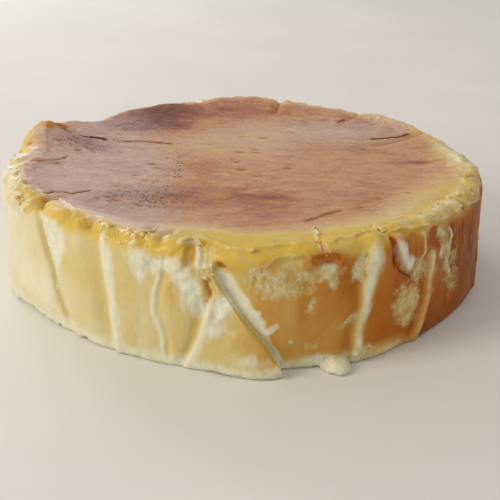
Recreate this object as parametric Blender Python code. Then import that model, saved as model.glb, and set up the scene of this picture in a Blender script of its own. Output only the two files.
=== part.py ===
"""A whole Basque burnt cheesecake, turned out of its paper and standing on its base.

The cake is one uncut solid. It is worked out as a surface over two measures: the azimuth, in degrees
counted from +X towards +Y with the shown front at -90, and the climb, the distance up the surface from
the edge of the base, over the wall and the rolled rim, and on towards the middle of the top.
Sizes are in metres.
"""

import math
import random
from dataclasses import dataclass

import bmesh
import bpy
import numpy as np

MM = 0.001

# Driving sizes: a 23 cm tin, and a cake that has sunk a little after baking.
TIN_DIAMETER = 0.230
RIM_HEIGHT = 0.0555
MIDDLE_HEIGHT = 0.0518

# The wall flares at the foot and rolls over into the crown of the rim.
WALL_RADIUS = TIN_DIAMETER / 2
FOOT_FLARE = 1.4 * MM
FOOT_ROUND = 1.1 * MM
BELLY = 0.7 * MM
FOOT_STEP_CLIMB = 20 * MM
ROLL_INSET = 8.0 * MM
ROLL_RISE = 8.5 * MM
HALF_CLIMB = 30.0 * MM
SHOULDER_CLIMB = 47.0 * MM
CROWN_CLIMB = 60.5 * MM
CROWN_RADIUS = WALL_RADIUS - ROLL_INSET
DISH_POWER = 6.0
TOP_WAVER = 0.35 * MM
TOP_WAVER_AT = 40.0

# The turning axis of the tin, measured from the middle of the finished cake's box.
AXIS_X = -1.29 * MM
AXIS_Y = 2.08 * MM

# Panels of wall between two folds puff out by this share of their width.
PANEL_PUFF = 0.040
MOST_PUFF = 1.5 * MM

# Spacing of the mesh along the round, in degrees, and the climbs at which it has a ring.
COLUMN_SPACING = 2.35
CLOSEST_COLUMNS = 0.55
SHOWN_FOLD_COLUMNS = (-1.6, -0.8, 0.0, 0.8, 1.6)
BACK_FOLD_COLUMNS = (-1.3, 0.0, 1.3)
DRIP_COLUMNS = (-0.98, -0.7, -0.35, 0.0, 0.35, 0.7, 0.98)
DRIP_RANK = 2.0
WALL_CLIMBS = [c * MM for c in (0, 1.1, 2.8, 4.2, 9, 15, 21, 27, 33, 38.5, 43, 46.5, 49.5, 52.5, 56, 60.5)]
RIM_CLIMBS = [c * MM for c in (64, 69, 76)]
TOP_RINGS = ((0.76, 120), (0.62, 76), (0.43, 46), (0.20, 20))

SEED = 23


def wrap(turn):
    """The same turn between -180 and 180 degrees."""
    return (np.asarray(turn) + 180.0) % 360.0 - 180.0


def ease(value, start, end):
    """A smooth rise from 0 at start to 1 at end."""
    t = np.clip((value - start) / (end - start), 0.0, 1.0)
    return t * t * (3.0 - 2.0 * t)


@dataclass(frozen=True)
class Swell:
    """A smooth rise or dip along the round: where it is, how far it spreads either way, how high."""

    azimuth: float
    spread: float
    rise: float

    def at(self, azimuth):
        turn = np.abs(wrap(azimuth - self.azimuth)) / self.spread
        return self.rise * 0.5 * (1.0 + np.cos(math.pi * np.clip(turn, 0.0, 1.0)))


@dataclass(frozen=True)
class Fold:
    """The print of one fold of the lining paper.

    The path holds pairs of climb in millimetres and azimuth, from the foot up. The fold has a thin
    ridge, a groove beside it on one side (-1 left, 1 right), and a step: how much further in the
    wall lies on its right than on its left. The foot step is added low down only.
    """

    path: tuple
    ridge: float = 0.0
    groove: float = 0.0
    step: float = 0.0
    foot_step: float = 0.0
    width: float = 2.4 * MM
    side: int = -1
    low: float = 0.0
    high: float = 58.0 * MM
    step_reach: float = 14.0 * MM

    def azimuth_at(self, climb):
        rises, turns = zip(*self.path)
        return np.interp(climb, np.array(rises) * MM, turns)

    def relief(self, azimuth, climb):
        away = np.radians(wrap(azimuth - self.azimuth_at(climb))) * WALL_RADIUS
        ridge = self.ridge * np.exp(-((away / self.width) ** 2))
        beside = (away - self.side * 1.5 * self.width) / self.width
        groove = self.groove * np.exp(-(beside**2))
        side_share = ease(away, -0.5 * self.width, 0.5 * self.width) - 0.5
        drop = self.step + self.foot_step * (1.0 - ease(climb, 0.0, FOOT_STEP_CLIMB))
        step = drop * side_share * np.exp(-np.abs(away) / self.step_reach)
        fade = ease(climb, self.low - 1.5 * MM, self.low + 3 * MM)
        fade = fade * (1.0 - ease(climb, self.high - 5 * MM, self.high))
        return (ridge - groove - step) * fade


@dataclass(frozen=True)
class Split:
    """A crack that runs in from the rim towards the middle, V-shaped and open at the rim."""

    azimuth: float
    start: float
    end: float
    depth: float
    width: float

    def relief(self, azimuth, climb, radius):
        away = np.abs(np.radians(wrap(azimuth - self.azimuth))) * radius
        gape = np.maximum(0.0, 1.0 - away / self.width)
        along = ease(climb, self.start - 2 * MM, self.start + 3 * MM)
        along = along * (1.0 - ease(climb, self.end - 12 * MM, self.end))
        return -self.depth * gape * along


@dataclass(frozen=True)
class Lump:
    """A rounded lump of batter that rolled over the rim, or a hollow where the rise is negative."""

    azimuth: float
    climb: float
    across: float
    along: float
    rise: float

    def relief(self, azimuth, climb):
        away = np.radians(wrap(azimuth - self.azimuth)) * WALL_RADIUS / self.across
        up = (climb - self.climb) / self.along
        return self.rise * np.exp(-(away**2) - up**2)


# The rim stands higher at a left corner and sags along the back.
RIM_SWELLS = (
    Swell(169, 13, 6.6 * MM),
    Swell(141, 15, -6.0 * MM),
    Swell(125, 15, -2.8 * MM),
    Swell(109, 12, -2.6 * MM),
    Swell(66, 22, -1.4 * MM),
    Swell(38, 18, 1.2 * MM),
    Swell(-150, 20, -0.6 * MM),
)

# The plan is out of round where the paper stood away from the tin.
PLAN_SWELLS = (
    Swell(-155, 13, 2.6 * MM),
    Swell(-130, 12, -0.9 * MM),
    Swell(-86, 10, 1.6 * MM),
    Swell(-40, 27, -3.2 * MM),
    Swell(-2, 22, 1.6 * MM),
    Swell(80, 34, 0.8 * MM),
    Swell(128, 22, -1.2 * MM),
)

# The foot spreads further than the shoulder in places, and the crown leans in at the left.
FOOT_SWELLS = (
    Swell(-154, 10, 3.4 * MM),
    Swell(-88, 17, 3.1 * MM),
    Swell(-36, 22, 0.8 * MM),
    Swell(0, 24, 2.0 * MM),
)
CROWN_SWELLS = (
    Swell(-178, 18, -6.6 * MM),
    Swell(6, 20, -1.2 * MM),
)

SHOWN_FOLDS = (
    Fold(((0, -151), (15, -155), (30, -160), (58, -166)), ridge=1.1 * MM, groove=0.5 * MM, width=2.8 * MM),
    Fold(((0, -127.5), (23, -133), (44, -137), (60, -142)), ridge=1.2 * MM, groove=2.4 * MM, step=-0.6 * MM),
    Fold(((0, -115.5), (21, -117), (45, -119), (60, -122)), ridge=1.9 * MM, groove=1.0 * MM, width=2.0 * MM),
    Fold(((0, -105), (23, -107.5), (39, -107), (60, -107)), ridge=1.3 * MM, groove=0.4 * MM, width=1.8 * MM,
         low=4 * MM, high=48 * MM),
    Fold(((0, -100.3), (19, -97), (28, -96.4), (48, -97.4), (60, -99)), ridge=1.5 * MM, groove=0.7 * MM,
         width=2.6 * MM, side=1, high=34 * MM),
    Fold(((0, -80.5), (11, -84), (21, -87.5), (28, -90.5), (36, -93), (46, -94.8), (60, -96)),
         ridge=1.0 * MM, groove=1.8 * MM, step=3.0 * MM, foot_step=4.6 * MM, width=2.2 * MM, side=1,
         low=-4 * MM, high=52 * MM),
    Fold(((0, -64), (28, -62.8), (60, -59.5)), ridge=2.4 * MM, groove=1.8 * MM, width=2.2 * MM),
    Fold(((0, -50.5), (11, -49.5), (18, -50), (25, -52), (31, -55), (38, -57), (60, -57.5)), ridge=0.5 * MM,
         groove=1.0 * MM, step=2.2 * MM, width=1.6 * MM, side=1, low=9 * MM, high=50 * MM, step_reach=9 * MM),
    Fold(((0, -48), (12, -46), (21, -44.4), (29, -43), (38, -41.5), (60, -41)),
         ridge=1.6 * MM, groove=0.8 * MM, width=2.0 * MM, high=44 * MM),
    Fold(((0, -33), (16, -32), (25, -34), (45, -36.5), (60, -38)), ridge=0.8 * MM, groove=0.8 * MM,
         width=1.8 * MM, low=8 * MM, high=56 * MM),
)

SPLITS = (
    Split(162.5, 58 * MM, 118 * MM, 2.2 * MM, 3.0 * MM),
    Split(-170, 58 * MM, 82 * MM, 1.2 * MM, 2.6 * MM),
    Split(-142.5, 52 * MM, 74 * MM, 3.6 * MM, 4.2 * MM),
    Split(-125.5, 52 * MM, 66 * MM, 2.2 * MM, 4.0 * MM),
    Split(-107, 53 * MM, 76 * MM, 2.0 * MM, 3.4 * MM),
    Split(-73, 50 * MM, 82 * MM, 1.4 * MM, 2.6 * MM),
    Split(-27, 50 * MM, 68 * MM, 1.8 * MM, 3.6 * MM),
    Split(28, 58 * MM, 98 * MM, 1.6 * MM, 2.6 * MM),
    Split(54, 58 * MM, 88 * MM, 1.6 * MM, 2.6 * MM),
    Split(80.5, 54 * MM, 84 * MM, 2.4 * MM, 2.8 * MM),
    Split(110, 54 * MM, 76 * MM, 3.2 * MM, 3.4 * MM),
)

LUMPS = (
    Lump(-168, 42 * MM, 24 * MM, 10 * MM, 3.2 * MM),
    Lump(-150, 52 * MM, 9 * MM, 7 * MM, 1.6 * MM),
    Lump(-133, 52 * MM, 9 * MM, 6 * MM, 1.7 * MM),
    Lump(-113, 52 * MM, 8 * MM, 6 * MM, 1.6 * MM),
    Lump(-103, 49 * MM, 7 * MM, 7 * MM, 2.2 * MM),
    Lump(-96.5, 52 * MM, 4 * MM, 6 * MM, -1.2 * MM),
    Lump(-90, 52 * MM, 12 * MM, 4 * MM, 1.4 * MM),
    Lump(-72, 47 * MM, 9 * MM, 3 * MM, -1.3 * MM),
    Lump(-70, 53 * MM, 13 * MM, 4 * MM, 1.0 * MM),
    Lump(-60, 56 * MM, 4 * MM, 4 * MM, 1.6 * MM),
    Lump(-52, 42 * MM, 4 * MM, 8 * MM, 1.5 * MM),
    Lump(-44, 53 * MM, 10 * MM, 4 * MM, 1.5 * MM),
    Lump(-26, 54 * MM, 9 * MM, 5 * MM, 1.4 * MM),
    Lump(4, 54 * MM, 22 * MM, 5 * MM, 1.2 * MM),
)

# The back is creased by the same paper, roughly every 14 degrees from the right side to the left.
BACK_FOLDS = (-15, 3, 15, 28, 41, 54, 67, 80.5, 96, 110, 124, 138, 150, 162.5, 176)
BACK_LEAN = 3.2
BACK_BOW = 0.8
BACK_RIDGE = (0.8 * MM, 2.2 * MM)
BACK_GROOVE = (0.6 * MM, 2.0 * MM)
BACK_STEP = (-0.6 * MM, 0.9 * MM)
BACK_WIDTH = (1.8 * MM, 2.6 * MM)

# A flat drop of batter ran out under the foot and set there.
DRIP_AZIMUTH = -69.5
DRIP_HALF_WIDTH = 7.0 * MM
DRIP_REACH = 9.5 * MM
DRIP_HEIGHT = 4.2 * MM

CRUST_BROWN = (0.47, 0.26, 0.14)


def back_folds():
    """Folds of the unseen side, each leaning its own way."""
    draw = random.Random(SEED)
    folds = []
    for azimuth in BACK_FOLDS:
        foot = azimuth + draw.uniform(-BACK_LEAN, BACK_LEAN)
        middle = 0.5 * (foot + azimuth) + draw.uniform(-BACK_BOW, BACK_BOW)
        folds.append(
            Fold(
                path=((0, foot), (28, middle), (60, azimuth)),
                ridge=draw.uniform(*BACK_RIDGE),
                groove=draw.uniform(*BACK_GROOVE),
                step=draw.uniform(*BACK_STEP),
                width=draw.uniform(*BACK_WIDTH),
                side=draw.choice((-1, 1)),
            )
        )
    return folds


FOLDS = sorted(list(SHOWN_FOLDS) + back_folds(), key=lambda fold: float(fold.azimuth_at(HALF_CLIMB)))


def rim_height(azimuth):
    """Height of the crown of the rim."""
    return RIM_HEIGHT + sum(swell.at(azimuth) for swell in RIM_SWELLS)


def plan_radius(azimuth):
    """Radius of the shoulder, the widest line of the wall."""
    return WALL_RADIUS + sum(swell.at(azimuth) for swell in PLAN_SWELLS)


def foot_flare(azimuth):
    """How much further out the foot stands than the shoulder."""
    return FOOT_FLARE + sum(swell.at(azimuth) for swell in FOOT_SWELLS)


def crown_radius(azimuth):
    """Radius of the crown of the rim."""
    return plan_radius(azimuth) - ROLL_INSET + sum(swell.at(azimuth) for swell in CROWN_SWELLS)


def panel_puff(azimuth, climb):
    """How far each panel of wall between two folds swells out."""
    turns = np.array([fold.azimuth_at(climb) for fold in FOLDS])
    turns = np.append(turns, turns[0] + 360.0)
    around = turns[0] + (azimuth - turns[0]) % 360.0
    left = np.clip(np.searchsorted(turns, around, side="right") - 1, 0, len(FOLDS) - 1)
    width = turns[left + 1] - turns[left]
    share = (around - turns[left]) / width
    most = np.minimum(MOST_PUFF, np.radians(width) * WALL_RADIUS * PANEL_PUFF)
    fade = ease(climb, 0.0, 10 * MM) * (1.0 - ease(climb, SHOULDER_CLIMB, CROWN_CLIMB))
    return most * np.sin(math.pi * np.clip(share, 0.0, 1.0)) ** 0.7 * fade


def drip_reach(azimuth, height):
    """How far the set drop stands out of the foot."""
    away = np.radians(wrap(azimuth - DRIP_AZIMUTH)) * WALL_RADIUS / DRIP_HALF_WIDTH
    round_plan = np.sqrt(np.maximum(0.0, 1.0 - away**2))
    swell = np.sqrt(np.maximum(0.0, 1.0 - (height / DRIP_HEIGHT) ** 3))
    return DRIP_REACH * round_plan * swell


def top_height(azimuth, share):
    """Height of the top where share is the distance from the middle over the crown's radius."""
    waver = TOP_WAVER * np.sin(np.radians(2 * azimuth + TOP_WAVER_AT)) * share**2 * (1.0 - share**4)
    dish = (rim_height(azimuth) - MIDDLE_HEIGHT) * share**DISH_POWER
    return MIDDLE_HEIGHT + waver + dish


def surface(azimuth, climb):
    """Points on the cake's surface for an array of azimuths at one climb."""
    rim = rim_height(azimuth)
    plan = plan_radius(azimuth)
    if climb <= SHOULDER_CLIMB:
        share = climb / SHOULDER_CLIMB
        height = share * (rim - ROLL_RISE)
        radius = plan + foot_flare(azimuth) * (1.0 - share) ** 2 + BELLY * math.sin(math.pi * share)
        radius = radius - FOOT_ROUND * max(0.0, 1.0 - climb / FOOT_ROUND) ** 2
        tilt = 0.0
    elif climb <= CROWN_CLIMB:
        tilt = 0.5 * math.pi * (climb - SHOULDER_CLIMB) / (CROWN_CLIMB - SHOULDER_CLIMB)
        radius = plan - (plan - crown_radius(azimuth)) * (1.0 - math.cos(tilt))
        height = rim - ROLL_RISE * (1.0 - math.sin(tilt))
    else:
        share = 1.0 - (climb - CROWN_CLIMB) / CROWN_RADIUS
        radius = crown_radius(azimuth) * share
        height = top_height(azimuth, share)
        tilt = 0.5 * math.pi
    relief = sum(fold.relief(azimuth, climb) for fold in FOLDS)
    relief = relief + sum(lump.relief(azimuth, climb) for lump in LUMPS)
    relief = relief + sum(split.relief(azimuth, climb, radius) for split in SPLITS)
    relief = relief + panel_puff(azimuth, climb)
    if climb <= SHOULDER_CLIMB:
        radius = radius + drip_reach(azimuth, height)
    radius = radius + relief * math.cos(tilt)
    height = height + relief * math.sin(tilt)
    turn = np.radians(azimuth)
    return np.stack([AXIS_X + radius * np.cos(turn), AXIS_Y + radius * np.sin(turn), height], axis=1)


def column_places():
    """Places of the columns at half height: close together beside each fold, even elsewhere.

    Each place is kept with a rank, and where two come too close the one with the lower rank stays.
    """
    places = []
    for fold in FOLDS:
        middle = float(fold.azimuth_at(HALF_CLIMB))
        reach = math.degrees(fold.width / WALL_RADIUS)
        shares = SHOWN_FOLD_COLUMNS if fold in SHOWN_FOLDS else BACK_FOLD_COLUMNS
        places += [(middle + share * reach, abs(share)) for share in shares]
    reach = math.degrees(DRIP_HALF_WIDTH / WALL_RADIUS)
    places += [(DRIP_AZIMUTH + share * reach, DRIP_RANK) for share in DRIP_COLUMNS]
    kept = []
    for place, rank in sorted(places, key=lambda item: item[1]):
        if all(abs(wrap(place - other)) >= CLOSEST_COLUMNS for other in kept):
            kept.append(float(wrap(place)))
    kept.sort()
    columns = []
    for place, following in zip(kept, kept[1:] + [kept[0] + 360.0]):
        count = max(1, math.ceil((following - place) / COLUMN_SPACING))
        columns += [place + (following - place) * step / count for step in range(count)]
    return np.array(columns)


def lean_with_folds(columns, climb):
    """Azimuths of the columns at one climb, so that each fold keeps to its own column."""
    climb = min(climb, CROWN_CLIMB)
    places = np.array([float(fold.azimuth_at(HALF_CLIMB)) for fold in FOLDS])
    turns = np.array([float(fold.azimuth_at(climb)) for fold in FOLDS])
    places = np.concatenate([places[-1:] - 360.0, places, places[:1] + 360.0])
    turns = np.concatenate([turns[-1:] - 360.0, turns, turns[:1] + 360.0])
    return np.interp(wrap(columns), places, turns)


def add_ring(bm, points):
    """Vertices for one closed ring."""
    return [bm.verts.new(point) for point in points]


def join_even(bm, lower, upper):
    """Quads between two rings of the same count, the lower one first."""
    count = len(lower)
    for i in range(count):
        j = (i + 1) % count
        bm.faces.new((lower[i], lower[j], upper[j], upper[i]))


def join_uneven(bm, outer, inner, outer_turns, inner_turns):
    """Triangles between two rings of different counts, stepping along whichever lags behind."""
    i = j = 0
    n_out, n_in = len(outer), len(inner)
    outer_turns = np.append(outer_turns, outer_turns[0] + 360.0)
    inner_turns = np.append(inner_turns, inner_turns[0] + 360.0)
    while i < n_out or j < n_in:
        step_outer = j == n_in or (i < n_out and outer_turns[i + 1] <= inner_turns[j + 1])
        if step_outer:
            bm.faces.new((outer[i], outer[(i + 1) % n_out], inner[j % n_in]))
            i += 1
        else:
            bm.faces.new((outer[i % n_out], inner[(j + 1) % n_in], inner[j]))
            j += 1


def close_top(bm, ring, ring_turns):
    """The dished top inside the rim: rings with fewer and fewer points, then one point in the middle."""
    for share, count in TOP_RINGS:
        turns = ring_turns[0] + np.arange(count) * 360.0 / count
        climb = CROWN_CLIMB + (1.0 - share) * CROWN_RADIUS
        inner = add_ring(bm, surface(turns, climb))
        join_uneven(bm, ring, inner, ring_turns, turns)
        ring, ring_turns = inner, turns
    middle = bm.verts.new((AXIS_X, AXIS_Y, MIDDLE_HEIGHT))
    for i, vert in enumerate(ring):
        bm.faces.new((vert, ring[(i + 1) % len(ring)], middle))


def cake_mesh():
    """The whole cake as one closed mesh."""
    bm = bmesh.new()
    columns = column_places()
    rings = []
    for climb in WALL_CLIMBS + RIM_CLIMBS:
        turns = lean_with_folds(columns, climb)
        rings.append(add_ring(bm, surface(turns, climb)))
    for lower, upper in zip(rings, rings[1:]):
        join_even(bm, lower, upper)
    close_top(bm, rings[-1], turns)
    bm.faces.new(list(reversed(rings[0])))
    mesh = bpy.data.meshes.new("cheesecake")
    bm.to_mesh(mesh)
    bm.free()
    mesh.shade_smooth()
    mesh.set_sharp_from_angle(angle=math.radians(60))
    return mesh


def baked_crust():
    """Browned, faintly shiny crust of baked cream cheese batter."""
    material = bpy.data.materials.new("baked_crust")
    material.use_nodes = True
    shader = material.node_tree.nodes["Principled BSDF"]
    shader.inputs["Base Color"].default_value = (*CRUST_BROWN, 1.0)
    shader.inputs["Roughness"].default_value = 0.5
    shader.inputs["Metallic"].default_value = 0.0
    return material


def clear_scene():
    """Removes whatever the scene holds."""
    for obj in list(bpy.data.objects):
        bpy.data.objects.remove(obj, do_unlink=True)


def build():
    """Puts the cake in the scene, standing on the ground."""
    clear_scene()
    cake = bpy.data.objects.new("cheesecake", cake_mesh())
    cake.data.materials.append(baked_crust())
    bpy.context.scene.collection.objects.link(cake)


build()
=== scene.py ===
"""Looks of a whole Basque burnt cheesecake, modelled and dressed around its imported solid.

A point on the cake is named by its azimuth, in degrees from +X towards +Y with the shown front at -90,
and by its climb: the distance up the surface from the edge of the base, over the wall and the rolled
rim, and on towards the middle of the top. Sizes are in metres, and climbs in the lists in millimetres.
"""

import logging
import math
import random
from collections.abc import Iterator
from contextlib import contextmanager
from dataclasses import dataclass
from enum import Enum
from functools import partial
from itertools import product
from typing import Protocol

import bmesh
import bpy
import numpy as np
from mathutils import Matrix, Vector


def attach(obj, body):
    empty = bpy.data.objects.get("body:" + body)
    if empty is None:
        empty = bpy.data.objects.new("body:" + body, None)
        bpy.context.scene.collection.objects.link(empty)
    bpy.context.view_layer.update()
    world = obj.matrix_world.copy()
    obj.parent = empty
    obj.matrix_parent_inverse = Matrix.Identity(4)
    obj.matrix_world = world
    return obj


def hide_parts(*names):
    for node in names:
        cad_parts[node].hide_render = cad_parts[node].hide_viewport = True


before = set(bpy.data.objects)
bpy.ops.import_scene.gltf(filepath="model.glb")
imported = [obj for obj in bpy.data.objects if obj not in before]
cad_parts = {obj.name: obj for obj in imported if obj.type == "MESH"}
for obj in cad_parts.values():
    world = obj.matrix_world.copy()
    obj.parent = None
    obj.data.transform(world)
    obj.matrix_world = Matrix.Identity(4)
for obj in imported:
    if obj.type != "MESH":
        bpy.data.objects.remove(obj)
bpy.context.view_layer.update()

log = logging.getLogger("cheesecake")

MM = 0.001
NODE = "cheesecake"
BODY = "root"

Array = np.ndarray
Object = bpy.types.Object
Pairs = tuple[tuple[float, float], ...]

# Climb at which the folds are told apart, and the distance under which vertices are merged.
HALF_HEIGHT = 30 * MM
MERGE = 0.01 * MM


class Mark(Enum):
    """What is kept for each point of the cake's surface, for the finishes to read."""

    BROWN = "brown"
    AMBER = "amber"
    ROLL = "roll"
    PALE = "pale"
    TORN = "torn"
    # Painted shade: darkening inside cracks, cuts, pits and pockets.
    CHAR = "char"
    GLAZE = "glaze"
    # Painted reflection: a mauve-grey sheen of the light, painted over the left of the top.
    BLOOM = "bloom"
    FRECKLE = "freckle"


class Side(Enum):
    """Side of a fold as seen from outside the cake."""

    LEFT = -1
    RIGHT = 1


class Edge(Enum):
    """How a patch ends."""

    SOFT = "fades out slowly"
    SHARP = "ends on a line"
    DOME = "curves down to a line"


class Ground(Enum):
    """How a detail names its places."""

    WALL = "azimuth and climb in millimetres"
    TOP = "x and y in millimetres from the axis of the tin"


def wrap(turn: Array | float) -> Array:
    """The same turn between -180 and 180 degrees."""
    return (np.asarray(turn) + 180.0) % 360.0 - 180.0


def ease(value: Array | float, start: float, end: float) -> Array:
    """A smooth rise from 0 at start to 1 at end."""
    t = np.clip((value - start) / (end - start), 0.0, 1.0)
    return t * t * (3.0 - 2.0 * t)


def fall(value: Array | float, start: float, end: float) -> Array:
    """A smooth fall from 1 at start to 0 at end."""
    return 1.0 - ease(value, start, end)


def ripple(points: Array, size: float, seed: int) -> Array:
    """A smooth random field.

    Args:
        points: Places to read, one row of three numbers each.
        size: Distance over which the field changes.
        seed: Picks one field of many.

    Returns:
        A number between -1 and 1 for each place.
    """
    cell = points / size + 17.3 * seed
    base = np.floor(cell).astype(np.int64)
    share = cell - base
    share = share * share * (3.0 - 2.0 * share)
    total = np.zeros(len(points))
    for corner in product((0, 1), repeat=3):
        x, y, z = (base + np.array(corner)).T
        mixed = (x * 73856093) ^ (y * 19349663) ^ (z * 83492791) ^ (seed * 2654435761)
        mixed = ((mixed ^ (mixed >> 13)) * 1274126177) & 0xFFFFFFFF
        mixed = (mixed ^ (mixed >> 16)) & 0xFFFF
        weight = np.prod(np.where(np.array(corner) == 1, share, 1.0 - share), axis=1)
        total += weight * (mixed / 32767.5 - 1.0)
    return total


def jostle(points: Array, size: float, seed: int) -> Array:
    """A smooth random push in each direction, from three fields that follow one another."""
    return np.stack([ripple(points, size, seed + number) for number in range(3)], axis=1)


def linear(colour: str) -> tuple[float, float, float, float]:
    """A colour written as sRGB hex, such as "#d9c589", as linear RGBA."""
    channels = [int(colour[i : i + 2], 16) / 255.0 for i in (1, 3, 5)]
    return (*[c / 12.92 if c <= 0.04045 else ((c + 0.055) / 1.055) ** 2.4 for c in channels], 1.0)


@dataclass(frozen=True)
class Swell:
    """A smooth rise or dip along the round.

    Args:
        azimuth: Where it is.
        spread: How far it reaches either way, in degrees.
        rise: How high it is.
    """

    azimuth: float
    spread: float
    rise: float

    def at(self, azimuth: Array) -> Array:
        """Its height at each azimuth."""
        turn = np.abs(wrap(azimuth - self.azimuth)) / self.spread
        return self.rise * 0.5 * (1.0 + np.cos(math.pi * np.clip(turn, 0.0, 1.0)))


def swells(*rows: tuple[float, float, float]) -> tuple[Swell, ...]:
    """Swells from rows of azimuth, spread and rise in millimetres."""
    return tuple(Swell(azimuth, spread, rise * MM) for azimuth, spread, rise in rows)


# The rim stands higher at a left corner and sags along the back.
RIM_SWELLS = swells(
    (169, 13, 6.6), (141, 15, -6.0), (125, 15, -2.8), (109, 12, -2.6), (66, 22, -1.4), (38, 18, 1.2),
    (-150, 20, -0.6),
)
# The plan is out of round where the paper stood away from the tin.
PLAN_SWELLS = swells(
    (-155, 13, 2.6), (-130, 12, -0.9), (-86, 10, 1.6), (-40, 27, -3.2), (-2, 22, 1.6), (80, 34, 0.8),
    (128, 22, -1.2),
)
# The foot spreads further than the shoulder in places, and at the left foot and crown are drawn in.
FOOT_SWELLS = swells((-178, 24, -3.6), (-154, 10, 1.2), (-88, 17, 3.1), (-36, 22, 0.8), (0, 24, 2.0))
CROWN_SWELLS = swells((-178, 18, -6.6), (6, 20, -1.2))

# How browned the wall is along the round, from 0, cream, to 1, caramel: partly real browning, and partly
# painted light and shade, paler on the lit left of the front and darker on the shaded right.
WALL_BROWNING_AND_PAINTED_LIGHT = (
    (-180, 0.22), (-168, 0.08), (-150, 0.06), (-138, 0.10), (-125, 0.17), (-116, 0.26), (-107, 0.28),
    (-98, 0.28), (-91, 0.36), (-84, 0.56), (-74, 0.68), (-66, 0.70), (-62, 0.76), (-54, 0.86),
    (-44, 0.90), (-28, 0.98), (-8, 0.96), (15, 0.78), (45, 0.52), (80, 0.60), (110, 0.44), (140, 0.36),
    (165, 0.30),
)

# The climb at which the wall's own colour gives way to the yellow of the rolled rim.
YELLOW_EDGE = (
    (-180, 45), (-160, 47), (-150, 49), (-139, 49), (-129, 49), (-116, 50), (-107, 48), (-97, 49),
    (-91, 46), (-85, 51), (-77, 53), (-70, 53), (-63, 49), (-59, 51), (-54, 54), (-50, 53), (-45, 51),
    (-35, 50), (-25, 51), (-14, 50), (0, 51), (20, 53), (45, 52), (70, 52), (100, 50), (140, 48),
)

# The climb at which the brown of the top gives way to yellow custard, and the half width of that fade.
BROWN_EDGE = (
    (-180, 55), (-163, 52), (-152, 57), (-146, 61), (-137, 64), (-126, 64), (-116, 66), (-107, 74),
    (-97, 75), (-88, 75), (-79, 77), (-70, 76), (-57, 77), (-40, 78), (-23, 77), (-12, 74), (-2, 69),
    (8, 64), (19, 62), (32, 63), (44, 64), (56, 63), (70, 62), (90, 61), (120, 59), (150, 56), (168, 55),
)
BROWN_FADE = (
    (-180, 3), (-150, 3), (-135, 4), (-118, 6), (-100, 8), (-60, 10), (-25, 11), (0, 9), (20, 5),
    (45, 3), (80, 2.5), (130, 3), (165, 3),
)
# How brown the rim stays outside that edge: deep yellow at the front, tan and cream elsewhere.
RIM_BROWN = (
    (-180, 0.22), (-150, 0.18), (-140, 0.05), (-130, -0.2), (-120, -0.4), (-66, -0.4), (-54, -0.1),
    (-42, 0.16), (-20, 0.28), (0, 0.32), (60, 0.40), (120, 0.40), (165, 0.2),
)


@dataclass(frozen=True)
class CakeForm:
    """The main form of the cake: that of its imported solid, but with the foot at the left drawn in.

    Args:
        tin_radius: Radius of the tin, and of the shoulder of the wall.
        rim_height: Mean height of the crown of the rim.
        middle_height: Height of the sunken middle of the top.
        foot_flare: How much further out the foot stands than the shoulder.
        foot_round: Rounding of the edge of the base.
        belly: How far the wall swells at half height.
        roll_inset: How far the crown stands in from the shoulder.
        roll_rise: How far the crown stands above the shoulder.
        shoulder_climb: Climb of the shoulder.
        crown_climb: Climb of the crown.
        dish_power: How flat the middle of the top is.
        top_waver: Depth of the slow waver of the top.
        top_waver_turn: Where the waver stands, in degrees.
        axis_x: The turning axis of the tin, from the middle of the cake's box.
        axis_y: The same along Y.
    """

    tin_radius: float = 115 * MM
    rim_height: float = 55.5 * MM
    middle_height: float = 51.8 * MM
    foot_flare: float = 1.4 * MM
    foot_round: float = 1.1 * MM
    belly: float = 0.7 * MM
    roll_inset: float = 8.0 * MM
    roll_rise: float = 8.5 * MM
    shoulder_climb: float = 47.0 * MM
    crown_climb: float = 60.5 * MM
    dish_power: float = 6.0
    top_waver: float = 0.35 * MM
    top_waver_turn: float = 40.0
    axis_x: float = -1.29 * MM
    axis_y: float = 2.08 * MM

    @property
    def crown_radius(self) -> float:
        """Mean radius of the crown of the rim."""
        return self.tin_radius - self.roll_inset

    @property
    def middle_climb(self) -> float:
        """Climb of the middle of the top."""
        return self.crown_climb + self.crown_radius

    def outline(self, azimuth: Array, climb: Array) -> tuple[Array, Array, Array]:
        """The smooth outline before folds and lumps.

        Args:
            azimuth: Azimuth of each point.
            climb: Climb of each point.

        Returns:
            Radius and height of each point, and the tilt of its surface: 0 on the wall, a quarter turn on
            the top.
        """
        rim = self.rim_height + sum(swell.at(azimuth) for swell in RIM_SWELLS)
        plan = self.tin_radius + sum(swell.at(azimuth) for swell in PLAN_SWELLS)
        flare = self.foot_flare + sum(swell.at(azimuth) for swell in FOOT_SWELLS)
        crown = plan - self.roll_inset + sum(swell.at(azimuth) for swell in CROWN_SWELLS)
        share = np.clip(climb / self.shoulder_climb, 0.0, 1.0)
        wall_height = share * (rim - self.roll_rise)
        wall_radius = plan + flare * (1.0 - share) ** 2 + self.belly * np.sin(math.pi * share)
        wall_radius = wall_radius - self.foot_round * np.maximum(0.0, 1.0 - climb / self.foot_round) ** 2
        turn = np.clip((climb - self.shoulder_climb) / (self.crown_climb - self.shoulder_climb), 0.0, 1.0)
        tilt = 0.5 * math.pi * turn
        roll_radius = plan - (plan - crown) * (1.0 - np.cos(tilt))
        roll_height = rim - self.roll_rise * (1.0 - np.sin(tilt))
        inwards = np.clip(1.0 - (climb - self.crown_climb) / self.crown_radius, 0.0, 1.0)
        waver = self.top_waver * np.sin(np.radians(2.0 * azimuth + self.top_waver_turn))
        waver = waver * inwards**2 * (1.0 - inwards**4)
        top_height = self.middle_height + waver + (rim - self.middle_height) * inwards**self.dish_power
        where = [climb <= self.shoulder_climb, climb <= self.crown_climb]
        radius = np.select(where, [wall_radius, roll_radius], crown * inwards)
        height = np.select(where, [wall_height, roll_height], top_height)
        return radius, height, tilt


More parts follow.
